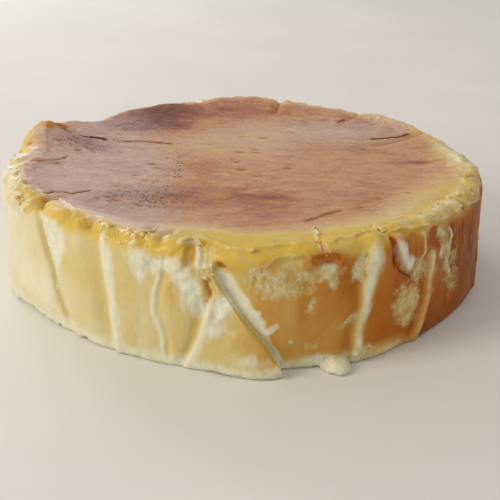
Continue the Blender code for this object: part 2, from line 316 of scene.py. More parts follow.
class Surface:
    """A set of points on the cake, pressed and marked by one detail after another."""

    def __init__(self, form: CakeForm, azimuth: Array, climb: Array) -> None:
        """Places the points on the smooth outline.

        Args:
            form: The cake's main form.
            azimuth: Azimuth of each point.
            climb: Climb of each point. Below zero it counts inwards over the base.
        """
        self.form = form
        self.azimuth = wrap(azimuth)
        self.climb = np.maximum(climb, 0.0)
        self.under = np.minimum(climb, 0.0)
        self.radius, self.height, self.tilt = form.outline(self.azimuth, self.climb)
        self.relief = np.zeros(len(climb))
        self.marks = {mark: np.zeros(len(climb)) for mark in Mark}
        self.marks[Mark.TORN] -= 1.0
        turn = np.radians(self.azimuth)
        self.out = np.stack([np.cos(turn), np.sin(turn), np.zeros_like(turn)], axis=1)
        self.smooth = self.position(self.relief)
        self.waver = ripple(self.smooth, 5 * MM, 3)
        self.drift = ripple(self.smooth, 9 * MM, 4)
        lean = self.tilt[:, None]
        self.normal = self.out * np.cos(lean) + np.array([0.0, 0.0, 1.0]) * np.sin(lean)

    def position(self, relief: Array) -> Array:
        """Where the points lie with this relief, pushed out on the wall and up on the top."""
        radius = self.radius + self.under + relief * np.cos(self.tilt)
        place = self.out * radius[:, None]
        place[:, 0] += self.form.axis_x
        place[:, 1] += self.form.axis_y
        place[:, 2] = self.height + relief * np.sin(self.tilt)
        return place

    def plan(self) -> tuple[Array, Array]:
        """Where the points lie along X and Y from the axis of the tin."""
        return self.smooth[:, 0] - self.form.axis_x, self.smooth[:, 1] - self.form.axis_y

    def press(self, relief: Array) -> None:
        """Raises the surface, or presses it in where the relief is negative."""
        self.relief = self.relief + relief

    def leave(self, mark: Mark, strength: Array) -> None:
        """Leaves a mark that is at least this strong."""
        self.marks[mark] = np.maximum(self.marks[mark], strength)

    def stain(self, mark: Mark, amount: Array) -> None:
        """Adds to a mark, or takes from it where the amount is negative."""
        self.marks[mark] = self.marks[mark] + amount


@dataclass(frozen=True)
class Fold:
    """The print of one fold of the lining paper.

    Args:
        path: Pairs of climb in millimetres and azimuth, from the foot up.
        ridge: Height of its thin ridge.
        groove: Depth of the groove beside the ridge.
        step: How much further in the wall lies on its right than on its left.
        foot_step: A step added low down only.
        width: Half width of the ridge.
        side: The side that the groove is on.
        low: Climb where it starts.
        high: Climb where it has died away.
        step_reach: How far from the fold the step dies away.
        edge: Half width of the step's slope, as a share of the ridge's.
        waver: How far it wanders sideways.
        white: How far the ridge is bleached, from 0 to 1.
        broken: How far the bleaching comes and goes along it.
        spread: How much wider it is at its top than at its foot.
        halo: Half width of the area that browned less, as a share of the ridge's.
        core: Half width of the bleached line, as a share of the ridge's.
    """

    path: Pairs
    ridge: float = 0.0
    groove: float = 0.0
    step: float = 0.0
    foot_step: float = 0.0
    width: float = 2.4 * MM
    side: Side = Side.LEFT
    low: float = 0.0
    high: float = 58.0 * MM
    step_reach: float = 14.0 * MM
    edge: float = 0.4
    waver: float = 0.35 * MM
    white: float = 0.4
    broken: float = 0.0
    spread: float = 1.0
    halo: float = 0.92
    core: float = 0.68

    def azimuth_at(self, climb: Array | float) -> Array:
        """Azimuth of the fold at each climb."""
        rises, turns = zip(*self.path)
        return np.interp(climb, np.array(rises) * MM, turns)

    def away(self, surface: Surface) -> Array:
        """How far each point lies to the right of the fold."""
        turn = wrap(surface.azimuth - self.azimuth_at(surface.climb))
        return np.radians(turn) * surface.form.tin_radius + self.waver * surface.waver

    def breadth(self, climb: Array) -> Array:
        """Half width of the ridge at each climb."""
        return self.width * (1.0 + (self.spread - 1.0) * ease(climb, 22 * MM, 50 * MM))

    def fine(self, surface: Surface) -> Array:
        """Which points need a close mesh."""
        along = (surface.climb > self.low) & (surface.climb < self.high)
        return (np.abs(self.away(surface)) < 0.95 * self.breadth(surface.climb)) & along

    def apply(self, surface: Surface) -> None:
        """Presses the fold into the surface, paints shade along its groove and bleaches its ridge."""
        climb, away = surface.climb, self.away(surface)
        fade = ease(climb, self.low - 1.5 * MM, self.low + 3 * MM)
        fade = fade * fall(climb, self.high - 5 * MM, self.high)
        uneven = 0.92 + 0.4 * surface.drift
        width = self.breadth(climb)
        crest = np.exp(-np.abs(away / (0.85 * width)) ** 2.4)
        hollow = np.exp(-(((away - self.side.value * 1.9 * width) / (1.5 * width)) ** 2)) * fade
        side_share = ease(away, -self.edge * self.width, self.edge * self.width) - 0.5
        drop = self.step + self.foot_step * fall(climb, 0.0, 20 * MM)
        step = drop * side_share * np.exp(-np.abs(away) / self.step_reach)
        surface.press((self.ridge * crest * uneven - step) * fade - self.groove * hollow)
        # Painted shade: the wall is stained darker amber along the groove's hollow.
        surface.stain(Mark.AMBER, 0.055 * hollow * min(1.0, self.groove / (1.0 * MM)))
        uneven = 0.9 + 0.45 * surface.drift + self.broken * ripple(surface.smooth, 15 * MM, 14)
        bleach = self.white * uneven * fade
        surface.stain(Mark.AMBER, -0.62 * bleach * np.exp(-np.abs(away / (self.halo * width)) ** 2.6))
        core = self.core * width * (0.95 + 0.3 * surface.waver)
        surface.leave(Mark.PALE, 0.72 * bleach * np.exp(-np.abs(away / core) ** 2.2))


@dataclass(frozen=True)
class Trail:
    """A drawn-out line on the surface: a bead, a groove, a crack, or the lip of the skin.

    Args:
        points: Places that it runs through.
        width: Half width of the bead or groove.
        rise: Height of the bead, or depth where it is negative.
        step: How much lower the surface lies on its right, walking along it.
        reach: How far from the line the step dies away.
        waver: How far the line wanders sideways.
        marks: Marks that it leaves, with their strength.
        spread: Half width of the marks.
        shift: How far the marks lie to its right.
        ground: How its places are named.
    """

    points: Pairs
    width: float = 0.8 * MM
    rise: float = 0.0
    step: float = 0.0
    reach: float = 5 * MM
    waver: float = 0.5 * MM
    marks: tuple[tuple[Mark, float], ...] = ()
    spread: float = 0.8 * MM
    shift: float = 0.0
    ground: Ground = Ground.WALL

    def places(self, form: CakeForm) -> Array:
        """The line's points in space, on the smooth outline."""
        first, second = np.array(self.points, float).T
        if self.ground is Ground.TOP:
            return np.stack([form.axis_x + first * MM, form.axis_y + second * MM, 0.0 * first], axis=1)
        return Surface(form, first, second * MM).smooth

    def measure(self, surface: Surface) -> tuple[Array, Array, Array]:
        """Finds the points near the line.

        Args:
            surface: The surface that it runs over.

        Returns:
            The numbers of the near points, how far each lies to the right of the line, and its place
            along the line: from 0 to 1, and outside that beyond its ends.
        """
        path = self.places(surface.form)
        points = surface.smooth.copy()
        if self.ground is Ground.TOP:
            points[:, 2] = np.where(surface.climb > surface.form.shoulder_climb, 0.0, 1.0)
        stepped = 3.0 * self.reach if self.step else 0.0
        margin = max(3.0 * self.width, stepped, 2.5 * self.spread + abs(self.shift))
        low, high = path.min(axis=0) - margin, path.max(axis=0) + margin
        near = np.where(((points > low) & (points < high)).all(axis=1))[0]
        spots = points[near]
        spots = spots + self.waver * jostle(spots, 4 * MM, 11)
        normal = surface.normal[near]
        distance = np.full(len(near), np.inf)
        right = np.zeros(len(near))
        walked = np.zeros(len(near))
        start = 0.0
        for a, b in zip(path, path[1:]):
            run = b - a
            length = float(np.linalg.norm(run))
            share = np.clip((spots - a) @ run / length**2, 0.0, 1.0)
            offset = spots - a - share[:, None] * run
            apart = np.linalg.norm(offset, axis=1)
            closer = apart < distance
            turn = np.einsum("ij,ij->i", np.cross(run, offset), normal)
            distance = np.where(closer, apart, distance)
            right = np.where(closer, -np.sign(turn), right)
            walked = np.where(closer, start + share * length, walked)
            start += length
        return near, distance * right, walked / start

    def fine(self, surface: Surface) -> Array:
        """Which points need a close mesh."""
        near, signed, _ = self.measure(surface)
        close = np.zeros(len(surface.climb), bool)
        close[near] = np.abs(signed) < 1.5 * self.width
        return close

    def apply(self, surface: Surface) -> None:
        """Draws the line on the surface."""
        near, signed, along = self.measure(surface)
        ends = ease(along, -0.01, 0.12) * fall(along, 0.88, 1.01)
        beyond = (along <= 0.0) | (along >= 1.0)
        bead = self.rise * np.exp(-((signed / self.width) ** 2)) * (0.35 + 0.65 * ends)
        drop = self.step * (ease(signed, -0.7 * self.width, 0.7 * self.width) - 0.5)
        drop = drop * np.exp(-np.abs(signed) / self.reach) * ends * ~beyond
        relief = np.zeros(len(surface.climb))
        relief[near] = bead - drop
        surface.press(relief)
        for mark, strength in self.marks:
            laid = np.zeros(len(surface.climb))
            laid[near] = strength * np.exp(-(((signed - self.shift) / self.spread) ** 4)) * ends
            surface.leave(mark, laid)


@dataclass(frozen=True)
class Patch:
    """An area of the surface with a mark or a relief of its own.

    Args:
        place: Its middle.
        size: Its half sizes in millimetres: across and along, or in x and y.
        lean: How far it is turned, in degrees.
        rise: How far it stands out, or is sunk where it is negative.
        marks: Marks that it leaves, with their strength.
        stains: Marks that it adds to, with the amount.
        edge: How it ends.
        ground: How its place is named.
    """

    place: tuple[float, float]
    size: tuple[float, float]
    lean: float = 0.0
    rise: float = 0.0
    marks: tuple[tuple[Mark, float], ...] = ()
    stains: tuple[tuple[Mark, float], ...] = ()
    edge: Edge = Edge.SOFT
    ground: Ground = Ground.WALL

    def field(self, surface: Surface) -> Array:
        """How far inside each point is: 1 in the middle, 0 on the edge."""
        if self.ground is Ground.TOP:
            x, y = surface.plan()
            across, along = x - self.place[0] * MM, y - self.place[1] * MM
            across = np.where(surface.climb > surface.form.shoulder_climb, across, 1.0)
        else:
            across = np.radians(wrap(surface.azimuth - self.place[0])) * surface.radius
            along = surface.climb - self.place[1] * MM
        turn = math.radians(self.lean)
        u = (across * math.cos(turn) + along * math.sin(turn)) / (self.size[0] * MM)
        v = (along * math.cos(turn) - across * math.sin(turn)) / (self.size[1] * MM)
        return 1.0 - np.sqrt(u * u + v * v)

    def fine(self, surface: Surface) -> Array:
        """Which points need a close mesh."""
        torn = any(mark is Mark.TORN for mark, _ in self.marks)
        return (self.field(surface) > -0.25) & (torn or self.edge is not Edge.SOFT)

    def apply(self, surface: Surface) -> None:
        """Lays the patch on the surface."""
        inside = self.field(surface)
        ragged = inside + 0.25 * surface.waver
        covers = {
            Edge.SOFT: np.exp(-((1.0 - inside) ** 2) * 1.1),
            Edge.SHARP: ease(ragged, -0.08, 0.22),
            Edge.DOME: np.sqrt(np.clip(1.0 - np.clip(1.0 - ragged, 0.0, 1.0) ** 2, 0.0, 1.0)),
        }
        cover = covers[self.edge]
        surface.press(self.rise * cover)
        for mark, strength in self.marks:
            surface.leave(mark, strength * inside if mark is Mark.TORN else strength * cover)
        for mark, amount in self.stains:
            surface.stain(mark, amount * cover)


@dataclass(frozen=True)
class Split:
    """A crack that runs in from the rim towards the middle, V-shaped and open at the rim.

    Args:
        azimuth: Where it is.
        start: Climb where it opens.
        end: Climb where it ends.
        depth: Depth at its widest.
        width: Half width at its widest.
    """

    azimuth: float
    start: float
    end: float
    depth: float
    width: float

    def apply(self, surface: Surface) -> None:
        """Opens the crack in the surface and paints shade deep in it."""
        away = np.abs(np.radians(wrap(surface.azimuth - self.azimuth))) * surface.radius
        gape = np.maximum(0.0, 1.0 - away / self.width)
        along = ease(surface.climb, self.start - 2 * MM, self.start + 3 * MM)
        along = along * fall(surface.climb, self.end - 12 * MM, self.end)
        surface.press(-self.depth * gape * along)
        # Painted shade: darker the deeper the crack.
        surface.leave(Mark.CHAR, 0.35 * gape**2 * along)


@dataclass(frozen=True)
class Facet:
    """A smooth slope that climbs from the bottom of a crease to its right.

    Args:
        crease: Pairs of climb in millimetres and azimuth along its low edge.
        crest: The same along its high edge.
        dip: How deep its low edge lies.
        white: How far it is whitened: partly real bleaching, partly a painted highlight on a slope facing the
            light.
    """

    crease: Pairs
    crest: Pairs
    dip: float
    white: float

    def across(self, surface: Surface) -> Array:
        """Place of each point across the facet: 0 in the crease, 1 on the crest."""
        low, high = (np.array(side, float).T for side in (self.crease, self.crest))
        start = np.interp(surface.climb / MM, *low) + 0.15 * surface.waver
        end = np.interp(surface.climb / MM, *high) + 0.5 * surface.waver
        return wrap(surface.azimuth - start) / (end - start)

    def fine(self, surface: Surface) -> Array:
        """Which points need a close mesh."""
        across = self.across(surface)
        return (across > -0.25) & (across < 1.25) & (surface.climb < 46 * MM)

    def apply(self, surface: Surface) -> None:
        """Sinks the facet and whitens it, partly as bleaching and partly as painted highlight."""
        across, climb = self.across(surface), surface.climb / MM
        fade = fall(climb, self.crease[-1][0] - 7.0, self.crease[-1][0])
        sunk = ease(across, -0.06, 0.05) * np.clip(1.0 - across, 0.0, 1.0) ** 1.3
        surface.press(-self.dip * sunk * fade)
        edge = ease(across, -0.02, 0.10) * fall(across, 0.82, 1.12) * (0.9 + 0.3 * surface.drift)
        # Partly painted highlight: the slope is made paler and less amber, as where it catches the light.
        surface.stain(Mark.AMBER, -0.45 * edge * fade)
        surface.leave(Mark.PALE, self.white * edge * fade)


def patches(
    columns: str,
    *rows: tuple[float, ...],
    edge: Edge = Edge.SOFT,
    ground: Ground = Ground.WALL,
    adds: bool = False,
) -> tuple[Patch, ...]:
    """Patches from rows of numbers.

    Args:
        columns: What a row holds after its place and half sizes: lean, rise in millimetres, marks by name.
        rows: The rows.
        edge: How all of them end.
        ground: How their places are named.
        adds: Whether they add to their marks, rather than leave marks that are at least as strong.

    Returns:
        The patches.
    """
    found = []
    for x, y, across, along, *values in rows:
        given = dict(zip(columns.split(), values, strict=True))
        lean, rise = given.pop("lean", 0.0), given.pop("rise", 0.0) * MM
        marks = tuple((Mark(name), value) for name, value in given.items())
        laid = {"stains" if adds else "marks": marks}
        found.append(Patch((x, y), (across, along), lean, rise, edge=edge, ground=ground, **laid))
    return tuple(found)


def trail(*points: tuple[float, float], ground: Ground = Ground.WALL, **values: float) -> Trail:
    """A line on the surface.

    Args:
        points: Places that it runs through.
        ground: How they are named.
        values: Its sizes in millimetres, and the strength of each mark that it leaves.

    Returns:
        The line.
    """
    strengths = {mark: values.pop(mark.value) for mark in Mark if mark.value in values}
    sizes = {name: size * MM for name, size in values.items()}
    return Trail(points, marks=tuple(strengths.items()), ground=ground, **sizes)


def fold(path: Pairs, white: float, side: Side = Side.LEFT, **sizes: float) -> Fold:
    """A fold along a path, its sizes in millimetres."""
    shares = {name: sizes.pop(name) for name in ("edge", "spread") if name in sizes}
    return Fold(path, white=white, side=side, **shares, **{name: size * MM for name, size in sizes.items()})


SHOWN_FOLDS = (
    fold(((0, -151), (15, -155), (30, -160), (58, -166)), ridge=0.7, groove=0.6, width=2.6, white=0.5),
    fold(((0, -127.5), (23, -133), (44, -137), (60, -142)), ridge=0.4, groove=1.6, step=-0.8, width=1.8,
         white=0.1),
    fold(((0, -115.5), (21, -117), (45, -119), (60, -122)), ridge=1.1, groove=1.7, width=2.5, waver=0.15,
         white=1.0, spread=1.3),
    fold(((0, -105), (13, -105.4), (23, -107.3), (32, -107.4), (39, -106.6), (60, -105)), ridge=0.6,
         groove=0.7, side=Side.RIGHT, width=1.05, low=3, high=52, waver=0.25, white=0.85),
    fold(((0, -100.3), (7, -98.8), (14, -97.6), (23, -96.4), (30, -95.7), (37, -95.6), (60, -100)),
         ridge=0.9, groove=1.3, width=1.6, high=36, white=0.95),
    fold(((0, -80.5), (4, -81.1), (10, -82.8), (18, -85.6), (23, -87.6), (29, -90.0), (34, -91.8),
         (38, -93.4), (43, -94.9), (60, -96)), ridge=0.5, step=3.0, foot_step=4.6, width=2.2, low=-4,
         high=50, edge=0.2, waver=0.15, white=0.0),
    fold(((0, -64), (14, -64), (23, -63.6), (28, -62.8), (41, -62.2), (49, -61.3), (55, -60.3), (60, -60)),
         ridge=1.8, groove=1.3, width=2.5, waver=0.2, white=0.95, spread=1.75),
    fold(((0, -47), (5, -45.7), (14, -43.8), (22, -42.4), (33, -42.1), (60, -42)), ridge=1.5, groove=1.5,
         width=3.1, high=44, waver=0.2, white=0.66),
    fold(((0, -33), (16, -32), (25, -34), (45, -36.5), (60, -38)), ridge=0.5, groove=0.9, width=1.6, low=8,
         high=56, white=0.3),
)

# Each crack's azimuth, the climbs where it opens and ends, its depth and its half width.
SPLITS = tuple(
    Split(azimuth, *(size * MM for size in sizes))
    for azimuth, *sizes in (
        (162.5, 58, 84, 1.3, 3.0), (-170, 58, 82, 1.2, 2.6), (-142.5, 52, 74, 3.6, 4.2),
        (-125.5, 52, 66, 2.2, 4.0), (-107, 53, 76, 1.4, 3.4), (-73, 50, 70, 1.0, 2.6), (-27, 50, 68, 1.8, 3.6),
        (28, 58, 98, 1.6, 2.6), (54, 58, 88, 1.6, 2.6), (80.5, 54, 84, 2.4, 2.8), (106, 54, 76, 1.2, 2.6),
    )
)

# Rounded lumps of batter that rolled over the rim, and hollows between them.
LUMPS = patches(
    "rise",
    (-168, 42, 24, 10, 3.2), (-150, 52, 9, 7, 1.6), (-133, 52, 9, 6, 1.2), (-113, 52, 8, 6, 1.6),
    (-103, 49, 7, 7, 1.4), (-96.5, 52, 4, 6, -1.2), (-90, 52, 12, 4, 1.4), (-72, 47, 9, 3, -1.3),
    (-70, 53, 13, 4, 1.0), (-60, 56, 4, 4, 1.6), (-44, 53, 10, 4, 1.5), (-26, 54, 9, 5, 1.4),
    (4, 54, 22, 5, 1.2),
)

# The facet beside the deep crease at the front, the one beside the crease at the left, and three behind.
FACETS = (
    Facet(
        crease=((0, -80.9), (4, -81.1), (10, -82.8), (18, -85.6), (23, -87.6), (29, -90.0), (34, -91.8),
                (38, -93.4), (43, -94.9), (49, -95.5)),
        crest=((0, -79.6), (7, -80.8), (13, -82.2), (19, -83.6), (25, -84.6), (29, -86.0), (34, -87.7),
               (38, -89.2), (43, -90.6), (49, -92.4)),
        dip=1.6 * MM, white=0.75,
    ),
    Facet(
        crease=((20, -135.1), (27, -136.3), (32, -137.8), (39, -139.3), (46, -140.8), (54, -143)),
        crest=((20, -134.9), (27, -134.6), (32, -132.6), (39, -131.2), (46, -130.4), (54, -130.4)),
        dip=1.0 * MM, white=1.0,
    ),
    Facet(
        crease=((4, 33.5), (14, 35.0), (26, 37.6), (38, 40.0), (48, 41.0)),
        crest=((4, 34.5), (14, 37.8), (26, 41.8), (38, 44.4), (48, 45.4)),
        dip=1.5 * MM, white=0.4,
    ),
    Facet(
        crease=((2, 91.5), (12, 90.0), (24, 88.0), (36, 86.4), (46, 85.5)),
        crest=((2, 97.5), (12, 94.5), (24, 91.0), (36, 88.2), (46, 86.5)),
        dip=1.4 * MM, white=0.3,
    ),
    Facet(
        crease=((6, 140.5), (16, 141.5), (28, 143.4), (40, 145.0), (50, 146.0)),
        crest=((6, 142.0), (16, 144.4), (28, 148.0), (40, 150.0), (50, 151.4)),
        dip=1.2 * MM, white=0.4,
    ),
)

# Painted highlight: the pale line along each lip stands for light caught on its rounded edge; the glaze is a
# wet coat.
LIP = {"rise": 0.35, "shift": -0.5, "pale": 0.40, "glaze": 0.6}
SMALL_LIP = {"rise": 0.3, "step": 0.9, "waver": 0.9, "pale": 0.40, "glaze": 0.6}

# The lip where the smooth skin of the top ends and overhangs the wall, from the left to the right.
LIPS = (
    trail((-178, 54), (-168, 52), (-160, 53), (-153, 56), (-148, 55), (-145, 58), width=0.7, step=0.9,
          waver=0.8, **LIP),
    trail((-143.5, 63), (-139, 62), (-134, 60), (-131.5, 58), (-129.7, 55), step=1.2, spread=0.7, **LIP),
    trail((-128.5, 56), (-126, 60), (-122, 61), (-117, 60.5), (-112, 62), step=0.9, spread=0.7, **LIP),
    trail((-102, 59), (-99, 60.5), (-95.2, 58), (-92.5, 55.5), (-90.1, 55), (-87.7, 55), (-85, 57),
          (-82, 58.5), (-79.5, 58.5), (-77.5, 57), (-75, 57), step=1.0, reach=3.5, spread=0.7, **LIP),
    trail((-71.2, 57), (-68, 59.5), (-64.6, 59), (-61, 62), (-57.5, 62.5), step=1.0, reach=3.5, spread=0.7,
          **LIP),
    trail((-56, 61), (-52, 60), (-48, 58), (-44, 56.5), (-40, 55.5), (-36, 56), (-31, 56.5), (-26, 56),
          width=2.4, rise=1.1, waver=0.9, spread=3.8, pale=0.42),
    # Painted highlight: a pale line on the upper side of this lip's edge.
    trail((-57, 57), (-53, 56.5), (-50.5, 54.5), (-46, 53.5), (-41, 53), (-37, 52.5), (-31.6, 53),
          (-27, 53.5), (-23.5, 51.5), (-15, 50), width=0.6, rise=0.5, step=1.5, reach=3.5, waver=0.7,
          spread=0.9, shift=-0.6, pale=0.42),
    trail((-12, 50), (-7, 54), (2, 53), (14, 54), (24, 56), width=0.7, step=0.9, waver=0.8, **LIP),
)

# Creases, cracks, threads of skin and small lips of the wall and of the rim behind; painted shade darkens
# the cuts and grooves.
WALL_LINES = (
    trail((47, 42), (49, 30), (48, 12), rise=-0.6, step=0.6),
    trail((72, 46), (75, 34), (80, 24), rise=0.6, pale=0.7),
    trail((104, 40), (101, 28), (103, 14), width=0.9, rise=-0.7, step=-0.7),
    trail((131, 44), (133, 33), (129, 22), rise=0.5, pale=0.6),
    trail((157, 40), (156, 26), (159, 10), rise=-0.6, step=0.6),
    trail((21, 44), (22.5, 34), (20.5, 20), rise=0.6, pale=0.7),
    trail((31, 55), (38, 57.5), (46, 56), (55, 58), (63, 56.5), **SMALL_LIP),
    trail((84, 54), (92, 56), (100, 54.5), (108, 56), **SMALL_LIP),
    trail((118, 54), (127, 56), (138, 54), (147, 55.5), **SMALL_LIP),
    trail((-44.6, 17), (-45.4, 22), (-48.1, 29), (-51.7, 35), (-54.1, 38), (-55.6, 41), (-55.7, 47),
          (-56.3, 54), width=0.6, rise=-0.7, step=2.2, reach=7, waver=0.6, spread=0.5, char=0.5),
    trail((-46.6, 53), (-45.4, 45), (-46.3, 36), width=1.5, rise=1.3, spread=1.5, pale=0.75),
    trail((-39.6, 51), (-37.0, 44), (-39.0, 36), width=1.2, rise=0.9, spread=1.4, pale=0.9),
    trail((-35.6, 50), (-34.4, 42), (-35.2, 34), (-33.5, 24), width=1.1, rise=0.8, spread=1.3, pale=0.9),
    trail((-33.8, 35), (-32.8, 29), (-31.6, 22), width=0.7, rise=-0.9, spread=0.6, char=0.5),
    trail((-70, 78), (-71, 70), (-72.4, 63), (-73, 56), (-73, 51), width=0.55, rise=0.8, waver=0.8,
          spread=0.6, pale=0.7, glaze=0.6),
    trail((-84.8, 20), (-83.2, 21.5), (-81.8, 23), width=1.3, rise=0.4, waver=1.4, spread=1.9, pale=0.85),
    trail((-87, 27.5), (-85.2, 29.3), width=1.2, rise=0.2, waver=1.4, spread=1.7, pale=0.8),
    # Painted shade: this groove is stained darker amber.
    trail((-96.7, 42), (-95.8, 37), (-96.1, 30.5), width=1.3, rise=-1.5, waver=0.9, spread=1.3, amber=0.62),
    trail((-99, 56), (-98.3, 51), (-97.7, 46), width=1.1, rise=0.7, waver=0.9, spread=1.5, pale=0.95),
    trail((-97.0, 55), (-96.6, 51), (-96.9, 46), rise=0.7, waver=0.9, spread=1.2, pale=0.95),
    trail((-95.2, 54), (-95.4, 50), (-96.0, 47), width=0.7, rise=0.4, waver=0.9, spread=0.9, pale=0.8),
    trail((-102.4, 54.5), (-101.6, 57), (-100.3, 58), (-98.8, 57.3), width=1.1, rise=1.6, spread=1.2,
          pale=0.8, glaze=0.5),
    trail((-85.3, 47), (-84.4, 50), (-83, 52), (-80.5, 52.6), (-77, 52.3), (-75, 51.5), width=0.6, rise=0.5,
          step=0.8, reach=2.5, spread=0.6, pale=0.45),
    trail((-27.5, 55), (-28.5, 46), (-28, 36), rise=0.6, pale=0.35),
    trail((-22.5, 50), (-23.5, 40), (-22.8, 28), width=1.2, rise=0.6, spread=1.2, pale=0.15),
    trail((-8.5, 61), (-7, 57), (-4.3, 51), width=1.1, rise=-2.0, char=0.45),
    # Painted shade: the crease is stained darker amber along its line.
    trail((-142.0, 50), (-140.8, 46), (-139.3, 39), (-137.8, 32), (-136.3, 27), (-135.1, 20), (-133.6, 13),
          (-131.8, 7), (-131, 2), rise=-0.7, step=-0.7, waver=0.25, spread=0.7, amber=0.28),
    trail((-138.4, 36.5), (-136.5, 36), (-134.0, 35), width=0.6, rise=0.5, pale=0.9),
    trail((-74.5, 14), (-69, 26), (-66, 31), width=1.6, rise=-0.35, spread=1.2, char=0.08),
)

crack = partial(trail, ground=Ground.TOP)

# Cracks in the brown top, darkened inside by painted shade.
TOP_LINES = (
    crack((-99, 26), (-94, 26), (-90, 26), (-86, 25), (-81, 26.5), (-73, 26), rise=-1.2, spread=1.4,
          shift=-0.7, char=1.5),
    crack((-71, 26.2), (-64, 26.8), (-57, 28.5), (-46, 28), (-37, 26), width=0.5, rise=-0.5, step=0.7,
          spread=0.5, char=0.6),
    crack((-105, -24), (-102, -18), (-95, -14), (-90, -9), (-88, -4), width=0.6, rise=-0.5, step=0.5,
          spread=0.5, char=0.35),
    crack((-90, -61), (-88, -59), (-86, -56), (-82, -55), (-77, -55), (-73, -51), (-69, -48), width=0.6,
          rise=-0.6, step=0.5, spread=0.5, char=0.5),
    crack((50, 75), (56, 81), rise=-0.9, char=0.9),
    crack((48, 47), (55, 47), (68, 45), (75, 47), (82, 48), (88, 50), width=0.5, rise=-0.6, spread=0.45,
          char=0.6),
    crack((66, 45.5), (75, 47), (82, 48), (90, 51), width=0.7, rise=-0.9, spread=0.9, char=1.0),
    crack((26, -75), (34, -67), (41, -61), (46, -59), width=0.6, rise=-0.6, step=0.7, spread=0.45,
          char=0.4),
    crack((46, -59), (54, -55), (62, -52), width=0.6, rise=-0.3, step=0.3, spread=0.5, char=0.15),
)

# Where the paper pulled the skin off the wall, where it stayed pale, where a pale lump or lobe stands out,
# and where the wall is more or less browned than what is round it.
PATCHES = (
    *patches(
        "lean torn",
        (60, 43, 15, 4.0, 6, 1), (72, 40, 8, 6.5, -8, 1), (118, 43, 11, 3.6, 0, 1), (127, 37, 4.5, 8, 12, 1),
        (158, 42, 9, 4.0, -10, 0.8), (9, 44, 12, 4.5, 0, 0.9), (-83.5, 41.5, 9, 5.5, -8, 1),
        (-86.5, 43.5, 5, 5, 0, 1), (-79.5, 39.5, 7, 3.4, -12, 1), (-77, 44, 5, 3.2, 0, 1),
        (-72, 45, 6.5, 3.4, 0, 1), (-71, 40.5, 2.2, 3.4, 0, 1), (-64, 45, 3.2, 6, -15, 1.3),
        (-75.4, 31, 1.6, 3.4, -18, 1), (-66.3, 21, 4.2, 1.9, 28, 1), (-74.8, 12, 2.6, 2.0, 0, 1),
        (-79.3, 15, 1.0, 1.2, 0, 1), (-52.3, 24, 5.5, 8, 10, 0.7), (-48.4, 21, 5.0, 8, 0, 0.7),
        (-50.5, 15, 5.0, 3.4, 0, 1), (-46.8, 34, 6.0, 6, 20, 1), (-36.4, 40, 4.0, 7, 6, 0.75),
        (-33.8, 30, 4.0, 7, -10, 0.6), (-31.5, 20, 3.6, 5, 0, 0.6), (-38.4, 48, 2.4, 4, 0, 0.6),
        (-62.5, 5, 4.0, 3.4, 0, 1),
    ),
    *patches(
        "lean pale",
        (66, 42, 20, 7, 0, 0.7), (121, 40, 17, 9, 0, 0.8), (155, 36, 12, 10, 0, 0.7), (33, 26, 5, 11, -12, 0.6),
        (88, 22, 6, 12, 14, 0.5), (102, 12, 14, 6, 0, 0.6), (142, 16, 10, 9, 0, 0.6), (48, 10, 16, 5, 0, 0.6),
        (-50.5, 22, 8, 9, 0, 0.4), (-46.8, 35, 7, 7, 20, 0.55), (-35.5, 38, 6, 13, 6, 0.5),
        (-31.5, 22, 5, 10, 0, 0.35), (-56, 3, 12, 3, 0, 0.5), (-64.6, 44.5, 4.2, 6.5, -12, 0.8),
        (-162, 53, 34, 8, 0, 0.7), (-133, 60, 10, 4, 0, 0.5), (-44, 71, 24, 9, 0, 0.34),
        (0, 64, 52, 13, 0, 0.3), (-109, 46, 10, 4.4, -8, 1.25), (-104.5, 46, 8, 4.4, 0, 1.25),
        (-110.5, 41, 4, 6, 0, 1.0), (-101.5, 43, 6, 5, 0, 1.1), (-100, 37, 5.5, 9, 14, 1.25),
        (-98.6, 30, 4.6, 7, 8, 1.2), (-97.0, 50.5, 5.0, 6, 0, 0.7), (-93.2, 30, 4.4, 9, -18, 1.3),
        (-94.8, 22, 3.8, 7, -18, 1.2), (-91.0, 20, 2.8, 2.2, 0, 0.55), (-136.0, 44, 3.6, 6, 12, 0.7),
        (-118, 6, 14, 4, 0, 0.35), (-153, 30, 12, 24, 0, 0.35), (-162, 16, 9, 12, 0, 0.6),
        (-88, 8, 12, 4, 0, 0.7), (-108, 8, 10, 3, 0, 0.5), (-84, 46, 9, 3.4, -6, 0.45),
        (-72, 45.5, 9, 3.8, 0, 0.45), (-82, 38, 10, 4.4, 0, 0.4), (-69.5, 1, 8, 4, 0, 0.7),
    ),
    *patches(
        "lean rise pale glaze",
        (-53.4, 47, 3.4, 7.5, 8, 1.3, 1.0, 0), (-51.2, 41, 4.8, 4.4, 8, 1.3, 1.0, 0),
        (-60.3, 48, 5.0, 7, -6, 0.6, 0.75, 0), (-62.6, 24.5, 2.6, 5.5, -6, 0.8, 0.95, 0),
        (-25.5, 59, 5, 3, 0, 0.9, 0.45, 0.6),
    ),
    *patches("rise pale glaze", (-12, 56, 7, 4.5, 1.2, 0.4, 0.4), edge=Edge.DOME),
    *patches(
        "lean amber",
        (22, 30, 11, 16, 0, 0.16), (60, 20, 14, 12, 0, 0.18), (96, 34, 9, 10, 0, 0.20),
        (133, 28, 10, 12, 0, 0.16), (168, 24, 8, 10, 0, 0.12), (-52.3, 24, 5.5, 8, 10, -0.25),
        (-48.4, 21, 5.0, 8, 0, -0.25), (-103.6, 35, 3.6, 7, 0, 0.22),
        adds=True,
    ),
)

